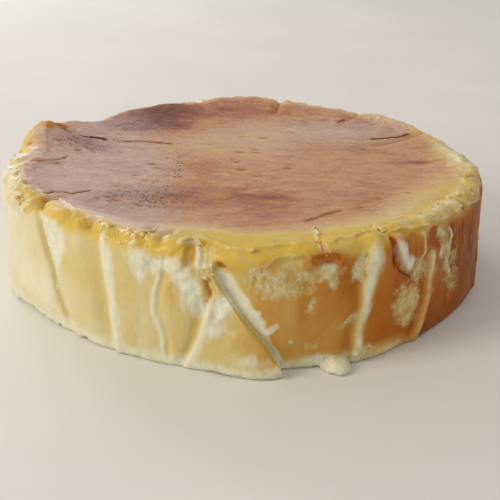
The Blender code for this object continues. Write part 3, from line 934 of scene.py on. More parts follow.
# Windows torn through to deeper, darker custard.
POCKETS = (
    *patches(
        "lean rise amber roll",
        (-93.6, 48, 2.8, 1.7, -35, -1.6, 0.28, -0.9), (-100.3, 51.5, 3.0, 4.8, 0, -2.0, 0.22, -0.8),
        (-72.3, 50.2, 8.5, 2.6, 0, -1.6, 0.06, -0.8), (-80.2, 49.3, 5.5, 2.1, 0, -0.8, -0.16, -0.6),
        (-55.9, 48, 2.2, 6.8, -4, -2.2, 0.1, -1.0), (-49.2, 49, 3.4, 4.8, 0, -1.6, -0.06, -1.0),
        (-41.6, 47, 6.0, 5.6, 0, -1.5, -0.06, -1.0),
        edge=Edge.SHARP, adds=True,
    ),
    *patches(
        "rise amber roll",
        (-143.4, 58.5, 4.0, 4.6, -1.0, 0.75, -0.9), (-128, 57.5, 4.5, 2.4, -0.9, 0.35, -0.6),
        (176.9, 54, 2.6, 2.6, -0.6, 0.6, -0.9),
        adds=True,
    ),
    # Painted shade: a sunk pocket darkened in its hollow.
    *patches("lean rise char", (-111, 65, 2.6, 4.5, 20, -1.2, 0.55)),
)

# Translucent yellow lobes of custard that bulge under the lip, and smaller lumps at the left.
LOBES = (
    *patches(
        "lean rise glaze",
        (-105.5, 55, 7.5, 6.2, 0, 1.5, 0.7), (-134.5, 53, 9, 4.4, 0, 1.2, 0), (-154, 56, 3.6, 3, 0, 1.5, 0.7),
        (-150.5, 51.5, 4.2, 3.2, 0, 1.6, 0.7), (-147, 55, 2.8, 2.8, 0, 1.4, 0.7),
        (-145, 51, 2.6, 2.8, 0, 1.2, 0.7), (-158, 52.5, 3.6, 2.6, 12, 1.2, 0.7),
        (-163, 55, 3, 2.4, 0, 1.1, 0.7), (-167, 50, 4, 2.8, 0, 1, 0.7), (-173, 53, 3.4, 2.4, 0, 1, 0.7),
        edge=Edge.DOME,
    ),
    *patches(
        "rise glaze",
        (-120, 56, 6, 4.5, 0.7, 0.7), (-91.5, 51.5, 7, 3.4, 0.5, 0.8), (-66, 55, 6, 3.4, 0.5, 0.8),
    ),
)

# Slow changes of colour over the brown top and its painted mauve sheen, the paler or browner rim, and the
# burnt tip of the raised corner.
STAINS = (
    *patches(
        "brown bloom",
        (6, 44, 40, 34, -0.28, 0.34), (-26, 20, 14, 40, -0.10, 0), (62, 52, 30, 20, 0, 0.4),
        (10, 90, 34, 9, 0.25, 0), (-52, 84, 34, 24, 0.75, -0.7), (-40, 60, 14, 10, 0.35, 0),
        (5, -50, 44, 14, 0.16, 0), (12, -46, 13, 4, 0.3, 0), (86, 8, 12, 3.5, 0.45, 0),
        (45, 28, 30, 9, 0.18, 0), (-20, -10, 10, 24, 0.14, 0), (50, 62, 34, 15, 0.12, 0.6),
        (-66, 60, 26, 11, 0.3, 0.2), (-84, 12, 16, 8, 0.3, 0), (-55, 48, 24, 12, 0.22, 0),
        (-36, -48, 26, 12, 0.2, 0),
        ground=Ground.TOP, adds=True,
    ),
    *patches(
        "lean freckle brown",
        (-88, 22, 10, 9, 0, 0.7, 0.35), (-70, 22, 26, 26, 0, 0.7, 0), (-85, 8, 12, 8, 0, 1.1, 0),
        (-62, 55, 22, 14, 0, 1.7, 0), (-46, -57, 28, 13, 8, 1.7, 0.12), (-52, -30, 30, 26, 0, 0.7, 0),
        (-34, 0, 9, 44, 0, 0.9, 0), (20, 10, 60, 60, 0, 0.38, 0),
        ground=Ground.TOP, adds=True,
    ),
    *patches(
        "amber roll",
        (-30, 60, 44, 7, -0.75, -0.85), (8, 60, 34, 7, -0.7, -0.85), (70, 56, 100, 3.5, -0.4, -0.5),
        (-162, 53, 30, 6, -0.1, -0.5),
        adds=True,
    ),
    *patches("lean amber roll", (165.0, 60.5, 12, 6.5, -14, 0.48, -1.5), edge=Edge.SHARP, adds=True),
)

# Burst bubbles in the brown skin: x and y of each, and its half length along X.
PITS = (
    (-21, 28, 2.2), (-4, 18, 3.2), (-5, 2, 2.6), (8, 43, 3.0), (4, 23, 2.2), (5, 18, 3.0), (-2, -9, 4.0),
    (6, -18, 2.6), (21, -5, 2.6), (-3, 44, 2.2), (31, 76, 2.2), (43, 79, 3.2), (-4, 77, 2.0), (2, 78, 2.0),
    (-15, 67, 2.2), (24, 55, 2.2), (23, 66, 2.0), (62, 30, 2.2), (72, 26, 1.8), (77, -35, 1.8),
    (62, -43, 2.6), (-92, -15, 1.8), (-92, -18, 1.4), (-85, 4, 2.0), (-82, 9, 1.8), (-60, -56, 2.6),
    (-57, -60, 2.6), (-46, -64, 2.2), (-53, -12, 1.8), (-53, -24, 2.0), (-47, -31, 2.0), (-60, -41, 1.8),
    (-64, 8, 1.6), (-46, -7, 3.4), (-43, -12, 2.6), (-21, 2, 1.8), (0, -36, 2.2), (-96, 9, 1.8),
    (-90, 13, 1.6), (-68, 64, 2.2), (-75, 45, 2.2), (-79, 35, 2.2), (-70, 38, 2.4), (-61, 67, 2.0),
    (-62, 50, 1.8), (-54, 58, 2.0), (-58, 40, 1.6),
)

# The back is creased by the same paper, roughly every 14 degrees from the right side to the left.
BACK_FOLDS = (-15, 3, 15, 28, 41, 54, 67, 80.5, 96, 110, 124, 138, 150, 162.5, 176)
FOLD_SEED = 23
BACK_PATCH_SEED = 41
BACK_PATCHES = 22


def back_folds() -> list[Fold]:
    """Folds of the unseen side, each leaning its own way."""
    draw = random.Random(FOLD_SEED)
    look = random.Random(FOLD_SEED + 1)
    folds = []
    for azimuth in BACK_FOLDS:
        foot = azimuth + draw.uniform(-3.2, 3.2)
        middle = 0.5 * (foot + azimuth) + draw.uniform(-0.8, 0.8)
        folds.append(
            Fold(
                path=((0, foot), (18, middle + look.uniform(-0.8, 0.8)), (28, middle), (60, azimuth)),
                ridge=draw.uniform(0.4 * MM, 1.4 * MM),
                groove=draw.uniform(0.6 * MM, 1.8 * MM),
                step=draw.uniform(-0.6 * MM, 0.9 * MM),
                width=draw.uniform(1.3 * MM, 2.3 * MM) * look.uniform(1.1, 2.1),
                side=draw.choice((Side.LEFT, Side.RIGHT)),
                low=look.uniform(-2 * MM, 8 * MM),
                high=look.uniform(42 * MM, 58 * MM),
                waver=look.uniform(0.3 * MM, 1.0 * MM),
                white=look.uniform(0.0, 0.8),
                broken=0.7,
                spread=look.uniform(0.9, 1.8),
            )
        )
    return folds


def back_patches() -> list[Patch]:
    """Patches of the unseen side where the skin peeled or stayed pale."""
    draw = random.Random(BACK_PATCH_SEED)
    found = []
    for _ in range(BACK_PATCHES):
        place = (draw.uniform(-8, 172), draw.uniform(10, 47))
        size = (draw.uniform(2.0, 8.0), draw.uniform(2.0, 7.0))
        lean = draw.uniform(-35, 35)
        around = (1.3 * size[0], 1.3 * size[1])
        found.append(Patch(place, around, lean=lean, marks=((Mark.PALE, draw.uniform(0.3, 0.6)),)))
        found.append(Patch(place, size, lean=lean, marks=((Mark.TORN, draw.uniform(0.6, 1.0)),)))
    return found


FOLDS = sorted((*SHOWN_FOLDS, *back_folds()), key=lambda fold: float(fold.azimuth_at(HALF_HEIGHT)))
ALL_PATCHES = (*PATCHES, *back_patches())


@dataclass(frozen=True)
class Curds:
    """A stretch of the surface that broke up into small, soft, moist lumps.

    Args:
        turns: Azimuths where it starts and ends.
        climbs: Climbs in millimetres where it starts and ends.
        size: How far apart the lumps are.
        rise: How high they are.
        brown: How much browner the stretch is.
        pale: How bleached the lumps are.
        wet: How wet they look.
    """

    turns: tuple[float, float]
    climbs: tuple[float, float]
    size: float
    rise: float
    brown: float
    pale: float
    wet: float

    def cover(self, surface: Surface) -> Array:
        """How much of the stretch each point is in."""
        half = 0.5 * (self.turns[1] - self.turns[0])
        turn = np.abs(wrap(surface.azimuth - self.turns[0] - half)) / half + 0.12 * surface.drift
        climb = surface.climb / MM + 1.5 * surface.waver
        low, high = self.climbs
        band = ease(climb, low - 1.0, low + 1.5) * fall(climb, high - 2.0, high)
        return fall(turn, 0.75, 1.0) * band

    def fine(self, surface: Surface) -> Array:
        """Which points need a close mesh."""
        return self.cover(surface) > 0.05

    def apply(self, surface: Surface) -> None:
        """Raises and wets the lumps."""
        cover = self.cover(surface)
        spots = surface.smooth * np.array([1.0, 1.0, 0.7])
        bent = spots + 0.35 * self.size * jostle(spots, 0.8 * self.size, 84)
        lumps = ripple(bent, self.size, 81) + 0.4 * ripple(bent, 0.5 * self.size, 82)
        surface.press(self.rise * cover * (ease(lumps, -0.5, 0.9) - 0.4))
        surface.leave(Mark.GLAZE, self.wet * cover)
        surface.leave(Mark.PALE, self.pale * cover * ease(lumps, -0.2, 0.9))
        surface.stain(Mark.BROWN, self.brown * cover)


# Azimuths and climbs of each stretch, then size and rise in millimetres, brown, pale and wet.
CURDS = tuple(
    Curds((start, end), (low, high), size * MM, rise * MM, *look)
    for start, end, low, high, size, rise, *look in (
        (-184, -143, 46, 60, 4.4, 2.2, -0.3, 0.9, 0.5), (-123, -108, 51, 59.5, 2.6, 1.1, -0.3, 0.7, 0.9),
        (-38, -22, 52, 61, 3.4, 1.4, -0.1, 0.5, 0.5), (-18, 14, 54, 63, 3.6, 1.3, -0.1, 0.5, 0.5),
        (30, 58, 60, 66, 2.0, 0.8, 0.1, 0.5, 0.9), (-66.5, -58.5, 0, 10, 2.0, 0.9, -0.3, 0.7, 0.9),
        (66, 120, 51, 59, 3.2, 1.1, 0.0, 0.5, 0.9), (138, 172, 50, 57, 3.0, 1.1, -0.1, 0.7, 0.9),
        (-99.5, -94.5, 39, 47.5, 2.0, 1.1, 0.0, 0.2, 0.9), (-112, -99, 38, 50, 3.4, 0.8, 0.0, 0.5, 0.3),
        (-102, -91, 18, 44, 3.0, 0.8, 0.0, 0.4, 0.3), (-43, -30, 20, 50, 3.6, 0.8, 0.0, 0.2, 0.3),
    )
)


@dataclass(frozen=True)
class Panels:
    """The panels of wall between two folds, which puff out.

    Args:
        share: Puff of a panel as a share of its width.
        most: The most that one puffs out.
    """

    share: float = 0.040
    most: float = 1.5 * MM

    def apply(self, surface: Surface) -> None:
        """Swells the panels."""
        form = surface.form
        turns = np.stack([fold.azimuth_at(surface.climb) for fold in FOLDS])
        turns = np.concatenate([turns, turns[:1] + 360.0])
        around = turns[0] + (surface.azimuth - turns[0]) % 360.0
        puff = np.zeros(len(around))
        for left, right in zip(turns, turns[1:]):
            width = right - left
            across = np.clip((around - left) / width, 0.0, 1.0)
            most = np.minimum(self.most, np.radians(width) * form.tin_radius * self.share)
            puff = np.maximum(puff, most * np.sin(math.pi * across) ** 0.7)
        fade = ease(surface.climb, 0.0, 10 * MM)
        fade = fade * fall(surface.climb, form.shoulder_climb, form.crown_climb)
        surface.press(puff * fade)


@dataclass(frozen=True)
class Drip:
    """A flat drop of batter that ran out under the foot and set there.

    Args:
        azimuth: Where it is.
        half_width: Half its width along the foot.
        reach: How far it stands out.
        height: How high it is.
    """

    azimuth: float = -68.8
    half_width: float = 6.4 * MM
    reach: float = 9.5 * MM
    height: float = 6.0 * MM

    def apply(self, surface: Surface) -> None:
        """Swells the drop out of the foot."""
        away = np.radians(wrap(surface.azimuth - self.azimuth)) * surface.form.tin_radius
        inside = 1.0 - (away / self.half_width) ** 2 - (surface.climb / self.height) ** 2
        surface.radius = surface.radius + self.reach * np.sqrt(np.maximum(0.0, inside))
        surface.leave(Mark.PALE, 0.62 * ease(inside, 0.0, 0.25))
        surface.stain(Mark.AMBER, -0.3 * ease(inside, -0.2, 0.25))


@dataclass(frozen=True)
class CrumbedCustard:
    """Unevenness all over: slow waves in the wall, burst pores, ragged edges at the foot.

    Args:
        wave: Height of the slow waves.
        grain: Height of the fine grain.
        lump: Height of the lumps of the rim.
        pucker: Height of the small puckers of the rim.
        torn_depth: How deep the skin peeled away.
        torn_grain: Height of the crumb inside a torn patch.
        nick: Height of the nicks along the foot.
    """

    wave: float = 0.5 * MM
    grain: float = 0.09 * MM
    lump: float = 0.45 * MM
    pucker: float = 0.28 * MM
    torn_depth: float = 0.30 * MM
    torn_grain: float = 0.34 * MM
    nick: float = 1.1 * MM

    def apply(self, surface: Surface) -> None:
        """Roughens the surface."""
        form, spots = surface.form, surface.smooth
        wall = fall(surface.climb, form.crown_climb, form.crown_climb + 8 * MM)
        rim = ease(surface.climb, 46 * MM, 52 * MM) * fall(surface.climb, 62 * MM, 70 * MM)
        for height, upright, size, seed, where in (
            (self.wave, 1.0, 13 * MM, 21, wall),
            (0.35 * self.wave, 1.0, 5 * MM, 22, wall),
            (0.3 * self.wave, 0.22, 3.2 * MM, 33, wall),
            (self.grain, 1.0, 1.6 * MM, 23, 1.0),
            (self.lump, 1.0, 8.5 * MM, 24, rim),
            (self.pucker, 1.0, 3.6 * MM, 25, rim * (0.6 + surface.drift)),
        ):
            surface.press(height * ripple(spots * np.array([1.0, 1.0, upright]), size, seed) * where)
        ragged = 0.55 * ripple(spots, 3.2 * MM, 26) + 0.3 * ripple(spots, 1.5 * MM, 27)
        torn = ease(surface.marks[Mark.TORN] + ragged, -0.15, 0.55)
        upright = spots * np.array([1.0, 1.0, 0.5])
        rough = ripple(upright, 2.4 * MM, 28) + 0.6 * ripple(spots, 1.3 * MM, 29)
        surface.press((self.torn_grain * rough - self.torn_depth) * torn)
        foot = np.clip(1.0 - (surface.climb - surface.under) / (3 * MM), 0.0, 1.0)
        nicks = ease(ripple(spots, 3.5 * MM, 31) + 0.5 * ripple(spots, 1.4 * MM, 32), 0.35, 0.8)
        surface.press(-self.nick * nicks * foot)
        surface.height = surface.height + self.nick * nicks * foot


# The edge of the painted mauve-grey sheen, a painted reflection of the light at the left of the top: y and x
# in millimetres.
PAINTED_SHEEN_BORDER = ((-80, -24), (-55, -29), (-27, -35), (10, -40), (43, -46), (81, -54))


@dataclass(frozen=True)
class BrowningAndPaintedLight:
    """How the cake is coloured: the brown top, the wall's amber with painted light, a painted sheen at the
    left.
    """

    def around(self, table: Pairs, azimuth: Array) -> Array:
        """A value of a table of azimuths at each azimuth, the table closing on itself."""
        turns, values = np.array(table, float).T
        return np.interp(azimuth, turns, values, period=360.0)

    def apply(self, surface: Surface) -> None:
        """Colours the surface."""
        azimuth, climb = surface.azimuth, surface.climb / MM
        edge, fade = self.around(BROWN_EDGE, azimuth), self.around(BROWN_FADE, azimuth)
        wander = 2.2 * ripple(surface.smooth, 14 * MM, 41) + 1.0 * ripple(surface.smooth, 5 * MM, 42)
        floor = self.around(RIM_BROWN, azimuth) + 0.1 * surface.drift
        share = ease(climb + wander - edge, -1.5 * fade, 1.5 * fade)
        surface.stain(Mark.BROWN, floor + (1.0 - floor) * share)
        light_foot = np.clip(ease(-azimuth, 42.0, 56.0) + ease(azimuth, 20.0, 50.0), 0.0, 1.0)
        # Partly painted light and shade: the wall's amber is paler on the lit left and darker on the shaded
        # right.
        amber = self.around(WALL_BROWNING_AND_PAINTED_LIGHT, azimuth) * (1.0 - 0.5 * light_foot * fall(climb, 1.5, 10.0))
        upright = surface.smooth * np.array([1.0, 1.0, 0.3])
        back = ease(np.abs(wrap(azimuth - 85.0)), 100.0, 70.0)
        mottle = (0.07 + 0.09 * back) * ripple(surface.smooth, 16 * MM, 43) + 0.06 * ripple(upright, 5 * MM, 47)
        surface.stain(Mark.AMBER, amber + mottle)
        yellow = self.around(YELLOW_EDGE, azimuth) + 1.2 * ripple(surface.smooth, 7 * MM, 46)
        surface.stain(Mark.ROLL, ease(climb - yellow, -3.0, 3.0))
        foot = 0.45 * light_foot + 0.35 * ease(-azimuth, 55.0, 75.0)
        band = climb + 2.0 * surface.waver + 1.5 * surface.drift
        surface.leave(Mark.PALE, foot * fall(band, 3.0, 9.0))
        # Painted reflection: a mauve-grey sheen painted over the left of the top, dying away down the rim.
        x, y = (place / MM for place in surface.plan())
        border = np.interp(y, *zip(*PAINTED_SHEEN_BORDER)) + 3.0 * surface.waver
        border = border + 7.0 * ripple(surface.smooth, 13 * MM, 44)
        bloom = ease(border - x, -15.0, 20.0) * (1.0 + 0.25 * ripple(surface.smooth, 18 * MM, 45))
        surface.stain(Mark.BLOOM, bloom * ease(climb, 54.0, 64.0))


class Detail(Protocol):
    """Anything that presses or marks the surface."""

    def apply(self, surface: Surface) -> None:
        """Works on the surface."""


@dataclass(frozen=True)
class Crumb:
    """One bead or crumb of torn custard that sits on the surface.

    Args:
        azimuth: Where it is.
        climb: Its climb in millimetres.
        size: Its half width in millimetres.
        stand: How far it stands out in millimetres.
    """

    azimuth: float
    climb: float
    size: float
    stand: float


@dataclass(frozen=True)
class Spill:
    """Crumbs scattered over a stretch of the surface.

    Args:
        turns: Azimuths where it starts and ends.
        climbs: Climbs in millimetres where it starts and ends.
        count: How many crumbs there are.
        sizes: Half widths in millimetres of the smallest and the largest crumb.
    """

    turns: tuple[float, float]
    climbs: tuple[float, float]
    count: int
    sizes: tuple[float, float]

    def crumbs(self, draw: random.Random) -> list[Crumb]:
        """The crumbs, small ones more often than large."""
        found = []
        for _ in range(self.count):
            size = self.sizes[0] + (self.sizes[1] - self.sizes[0]) * draw.random() ** 2
            found.append(Crumb(draw.uniform(*self.turns), draw.uniform(*self.climbs), size, 0.5 * size))
        return found


@dataclass(frozen=True)
class Flake:
    """A thin scrap of skin that stands away from the surface where the paper tore it.

    Args:
        spine: Its azimuths, climbs in millimetres and lifts in millimetres, from its foot to its tip.
        widths: Its half width in millimetres at its foot, middle and tip.
        thickness: Its thickness in millimetres.
    """

    spine: tuple[tuple[float, float, float], ...]
    widths: tuple[float, float, float]
    thickness: float = 0.5


# Azimuth, climb, half width and stand of each bead.
BEADS = tuple(
    Crumb(*row)
    for row in (
        (-87.7, 55, 1.0, 0.6), (-57, 62.5, 1.7, 1.5), (-98.2, 45, 0.9, 0.4), (-97.2, 46.5, 0.7, 0.4),
        (-96.2, 45.6, 1.0, 0.4), (-95.2, 44.8, 0.7, 0.4), (-96.6, 43, 0.8, 0.3), (-95.7, 41.0, 0.6, 0.3),
        (-119.8, 56.5, 1.3, 0.7), (-111.1, 56, 1.2, 0.7), (-109.9, 57.5, 1.0, 0.6), (-70.2, 77, 0.8, 0.6),
        (-71.2, 73, 0.7, 0.5), (-71, 69, 0.8, 0.6), (-72, 64, 0.7, 0.5), (-72.6, 60, 0.7, 0.5),
        (-64.6, 60, 0.8, 0.5), (-60, 64, 0.8, 0.5), (-27, 60, 1.9, 1.1), (-24.5, 58.5, 1.6, 0.9),
        (-28.5, 57, 1.4, 0.8), (-22, 57, 1.1, 0.7),
    )
)
SPILLS = (
    Spill((-182, -144), (49, 58), 20, (0.5, 1.2)),
    Spill((-42, -15), (54, 62), 12, (0.4, 0.9)),
    Spill((-12, 20), (57, 63), 10, (0.4, 0.8)),
    Spill((33, 56), (61, 66), 20, (0.3, 0.6)),
    Spill((-66, -59), (2, 9), 12, (0.4, 0.9)),
    Spill((60, 175), (50, 58), 24, (0.4, 1.0)),
    Spill((-124, -108), (51, 59), 12, (0.3, 0.7)),
    Spill((-100, -60), (52, 59), 10, (0.3, 0.5)),
)
SPILL_SEED = 5
FLAKES = (
    Flake(((-112.6, 56, 0.2), (-111.2, 58.5, 0.8), (-110.2, 61.5, 1.3), (-109.7, 64, 1.9), (-109.4, 65.5, 2.9)),
          (1.3, 0.7, 0.2)),
    Flake(((-102.3, 55.5, 0.2), (-100.8, 57.6, 0.7), (-99.3, 57.6, 0.8), (-98.2, 55.8, 0.4)),
          (1.4, 1.8, 1.2), thickness=1.2),
    Flake(((-56.6, 58, 0.4), (-57, 61, 1.4), (-57.3, 63.6, 2.6)), (1.4, 1.1, 0.5), thickness=1.0),
)


def deselect_all() -> None:
    """Leaves nothing selected, and no object active in edit mode."""
    if bpy.context.mode != "OBJECT":
        bpy.ops.object.mode_set(mode="OBJECT")
    bpy.ops.object.select_all(action="DESELECT")


@contextmanager
def editing(elements: str = "VERT", select: bool = False) -> Iterator[None]:
    """Edit mode of the active object for a while, with one kind of element, and all selected if asked."""
    bpy.ops.object.mode_set(mode="EDIT")
    bpy.ops.mesh.select_mode(type=elements)
    if select:
        bpy.ops.mesh.select_all(action="SELECT")
    yield
    bpy.ops.object.mode_set(mode="OBJECT")


def make_active(piece: Object) -> None:
    """Selects one object alone."""
    deselect_all()
    piece.select_set(True)
    bpy.context.view_layer.objects.active = piece


def join(pieces: list[Object], name: str) -> Object:
    """Joins objects into one.

    Args:
        pieces: What is joined.
        name: Name of the joined object.

    Returns:
        The joined object, alone selected.
    """
    make_active(pieces[0])
    for piece in pieces:
        piece.select_set(True)
    if len(pieces) > 1:
        bpy.ops.object.join()
    joined = bpy.context.view_layer.objects.active
    joined.name = name
    joined.data.name = name
    return joined


def vertices(mesh: bpy.types.Mesh) -> Array:
    """Places of a mesh's vertices, one row each."""
    places = np.zeros(len(mesh.vertices) * 3)
    mesh.vertices.foreach_get("co", places)
    return places.reshape(-1, 3)


def set_vertices(mesh: bpy.types.Mesh, places: Array) -> None:
    """Moves a mesh's vertices."""
    mesh.vertices.foreach_set("co", places.ravel())
    mesh.update()


def face_outwards() -> None:
    """Turns the faces of the active object outwards."""
    with editing(select=True):
        bpy.ops.mesh.normals_make_consistent(inside=False)


@dataclass(frozen=True)
class Band:
    """A ring of the flat round sheet that is drawn over the cake.

    Args:
        low: Climb where it starts.
        high: Climb where it ends.
        rows: Number of its rows.
        columns: Number of its columns around.
    """

    low: float
    high: float
    rows: int
    columns: int

    def make(self, middle_climb: float) -> Object:
        """Makes the ring by spinning its cross-section round the middle of the sheet."""
        inner, outer = middle_climb - self.high, middle_climb - self.low
        bpy.ops.mesh.primitive_plane_add(size=1.0)
        ring = bpy.context.active_object
        with editing(select=True):
            bpy.ops.transform.resize(value=(outer - inner, 0.0, 1.0), center_override=(0.0, 0.0, 0.0))
            bpy.ops.transform.translate(value=(0.5 * (inner + outer), 0.0, 0.0))
            bpy.ops.mesh.remove_doubles(threshold=MERGE)
            bpy.ops.mesh.subdivide(number_cuts=self.rows - 1)
            bpy.ops.mesh.spin(
                steps=self.columns, angle=2.0 * math.pi, center=(0.0, 0.0, 0.0), axis=(0.0, 0.0, 1.0)
            )
            bpy.ops.mesh.select_all(action="SELECT")
            bpy.ops.mesh.remove_doubles(threshold=MERGE)
        return ring


@dataclass(frozen=True)
class Cheesecake:
    """The cake: one closed surface, drawn over its form and worked detail by detail.

    Args:
        form: Its main form.
        bands: The rings of its sheet, from the base to the middle of the top.
        front: Azimuths between which its columns stand closer.
        front_share: How much closer they stand there.
        rim: Climbs between which the front of the rim has a close mesh.
        narrow: Lines narrower than this have a closer mesh still.
        crease_angle: Faces that meet at more than this angle, in degrees, meet in a sharp edge.
    """

    form: CakeForm = CakeForm()
    bands: tuple[Band, ...] = (
        Band(-5 * MM, 84 * MM, 72, 496),
        Band(85.4 * MM, 124 * MM, 26, 248),
        Band(125.6 * MM, 145.5 * MM, 13, 124),
        Band(147.1 * MM, 157.5 * MM, 7, 62),
        Band(159.1 * MM, 167.5 * MM, 5, 31),
    )
    front: tuple[float, float] = (-192.0, 12.0)
    front_share: float = 1.8
    rim: tuple[float, float] = (48.5 * MM, 64 * MM)
    narrow: float = 0.75 * MM
    crease_angle: float = 70.0

    def details(self) -> list[Detail]:
        """Everything that works the surface, in the order in which it does."""
        return [
            Drip(), Panels(), *FOLDS, *LUMPS, *SPLITS, *FACETS, *LOBES, *ALL_PATCHES, BrowningAndPaintedLight(), *CURDS,
            *POCKETS, *WALL_LINES, *LIPS, *STAINS, *TOP_LINES, Pits(), CrumbedCustard(),
        ]

    def surface(self, azimuth: Array, climb: Array) -> Surface:
        """The finished surface at some places.

        Args:
            azimuth: Azimuth of each place.
            climb: Climb of each place.

        Returns:
            The places, worked by every detail.
        """
        surface = Surface(self.form, azimuth, climb)
        for detail in self.details():
            detail.apply(surface)
        return surface

    def gather(self, turns: Array) -> Array:
        """Azimuths of even turns, drawn together over the front."""
        grid = np.linspace(-180.0, 180.0, 721)
        start, end = self.front
        shown = (grid < end) | (grid > start + 360.0)
        weight = np.where(shown, self.front_share, 1.0)
        share = np.concatenate([[0.0], np.cumsum(0.5 * (weight[1:] + weight[:-1]))])
        return np.interp(turns, share / share[-1] * 360.0 - 180.0, grid)

    def lean(self, azimuth: Array, climb: Array) -> Array:
        """Leans the columns so that each fold keeps to its own.

        Args:
            azimuth: Azimuth of each point's column at half height.
            climb: Climb of each point.

        Returns:
            Azimuth of each point.
        """
        climb = np.clip(climb, 0.0, self.form.crown_climb)
        places = np.array([float(fold.azimuth_at(HALF_HEIGHT)) for fold in FOLDS])
        turns = np.stack([fold.azimuth_at(climb) for fold in FOLDS])
        places = np.concatenate([places[-1:] - 360.0, places, places[:1] + 360.0])
        turns = np.concatenate([turns[-1:] - 360.0, turns, turns[:1] + 360.0])
        left = np.clip(np.searchsorted(places, azimuth, side="right") - 1, 0, len(places) - 2)
        share = (azimuth - places[left]) / (places[left + 1] - places[left])
        point = np.arange(len(azimuth))
        return turns[left, point] * (1.0 - share) + turns[left + 1, point] * share

    def places(self, flat: Array) -> tuple[Array, Array]:
        """Azimuth and climb of places on the flat sheet."""
        climb = self.form.middle_climb - np.hypot(flat[:, 0], flat[:, 1])
        turns = self.gather(np.degrees(np.arctan2(flat[:, 1], flat[:, 0])))
        return self.lean(turns, climb), climb

    def sheet(self) -> Object:
        """The flat round sheet: rings spun, joined and bridged."""
        deselect_all()
        middle = self.form.middle_climb
        sheet = join([band.make(middle) for band in self.bands], "cheesecake_surface")
        with editing("EDGE"):
            for outer, inner in zip(self.bands, self.bands[1:]):
                self.select_rings(sheet, (middle - outer.high, middle - inner.low))
                bpy.ops.mesh.bridge_edge_loops()
        return sheet

    def select_rings(self, sheet: Object, radii: tuple[float, ...]) -> None:
        """Selects the edges of the sheet that run round at some radii."""
        mesh = bmesh.from_edit_mesh(sheet.data)
        for face in mesh.faces:
            face.select = False
        for edge in mesh.edges:
            ends = [vert.co.xy.length for vert in edge.verts]
            edge.select = any(abs(ends[0] - r) + abs(ends[1] - r) < 0.1 * MM for r in radii)
        mesh.select_flush_mode()
        bmesh.update_edit_mesh(sheet.data)

    def refine(self, sheet: Object, details: list[Detail], whole_rim: bool) -> None:
        """Splits the faces of the sheet that carry fine details.

        Args:
            sheet: The flat sheet.
            details: The details that need a closer mesh.
            whole_rim: Whether the whole front of the rim needs one too.
        """
        make_active(sheet)
        middles = np.zeros(len(sheet.data.polygons) * 3)
        sheet.data.polygons.foreach_get("center", middles)
        azimuth, climb = self.places(middles.reshape(-1, 3))
        surface = Surface(self.form, azimuth, climb)
        fine = np.zeros(len(climb), bool)
        for detail in details:
            fine |= detail.fine(surface)
        if whole_rim:
            shown = (surface.azimuth < self.front[1]) | (surface.azimuth > self.front[0] + 360.0)
            fine |= shown & (climb > self.rim[0]) & (climb < self.rim[1])
        with editing("FACE"):
            bpy.ops.mesh.select_all(action="DESELECT")
        sheet.data.polygons.foreach_set("select", fine)
        with editing("FACE"):
            bpy.ops.mesh.subdivide(number_cuts=1, ngon=False)

    def close_base(self, sheet: Object) -> None:
        """Fills the sheet's outer edge with the flat base."""
        make_active(sheet)
        with editing("EDGE"):
            self.select_rings(sheet, (self.form.middle_climb - self.bands[0].low,))
            bpy.ops.mesh.edge_face_add()

    def build(self) -> Object:
        """Makes the cake's mesh and keeps its marks with it."""
        sheet = self.sheet()
        lines = [*WALL_LINES, *LIPS, *TOP_LINES]
        areas = [*ALL_PATCHES, *POCKETS, *LOBES, *FACETS, *CURDS]
        self.refine(sheet, [*FOLDS, *lines, *areas], whole_rim=True)
        self.refine(sheet, [line for line in lines if line.width < self.narrow], whole_rim=False)
        self.close_base(sheet)
        azimuth, climb = self.places(vertices(sheet.data))
        surface = self.surface(azimuth, climb)
        set_vertices(sheet.data, surface.position(surface.relief))
        for mark, strength in surface.marks.items():
            layer = sheet.data.attributes.new(mark.value, "FLOAT", "POINT")
            layer.data.foreach_set("value", strength.astype(np.float32))
        face_outwards()
        bpy.ops.object.shade_smooth_by_angle(angle=math.radians(self.crease_angle))
        return sheet


@dataclass(frozen=True)
class Pits:
    """Burst bubbles in the brown skin, drawn out along X, each a small hollow darkened by painted shade.

    Args:
        depth: How deep they are.
        slimness: How much shorter a pit is along Y than along X.
        char: How dark the painted shade in them is.
    """

    depth: float = 0.55 * MM
    slimness: float = 0.5
    char: float = 0.52

    def apply(self, surface: Surface) -> None:
        """Presses and darkens the pits."""
        x, y = (place / MM for place in surface.plan())
        top = np.where(surface.climb > surface.form.shoulder_climb)[0]
        hollow = np.zeros(len(x))
        for at_x, at_y, half in PITS:
            near = top[(np.abs(x[top] - at_x) < 3 * half) & (np.abs(y[top] - at_y) < 3 * half)]
            across = (x[near] - at_x) / half
            along = (y[near] - at_y) / (half * self.slimness)
            hollow[near] = np.maximum(hollow[near], np.exp(-(across**2) - along**2))
        surface.press(-self.depth * hollow)
        # Painted shade: darker in the hollow of each pit.
        surface.leave(Mark.CHAR, self.char * ease(hollow, 0.1, 0.8))


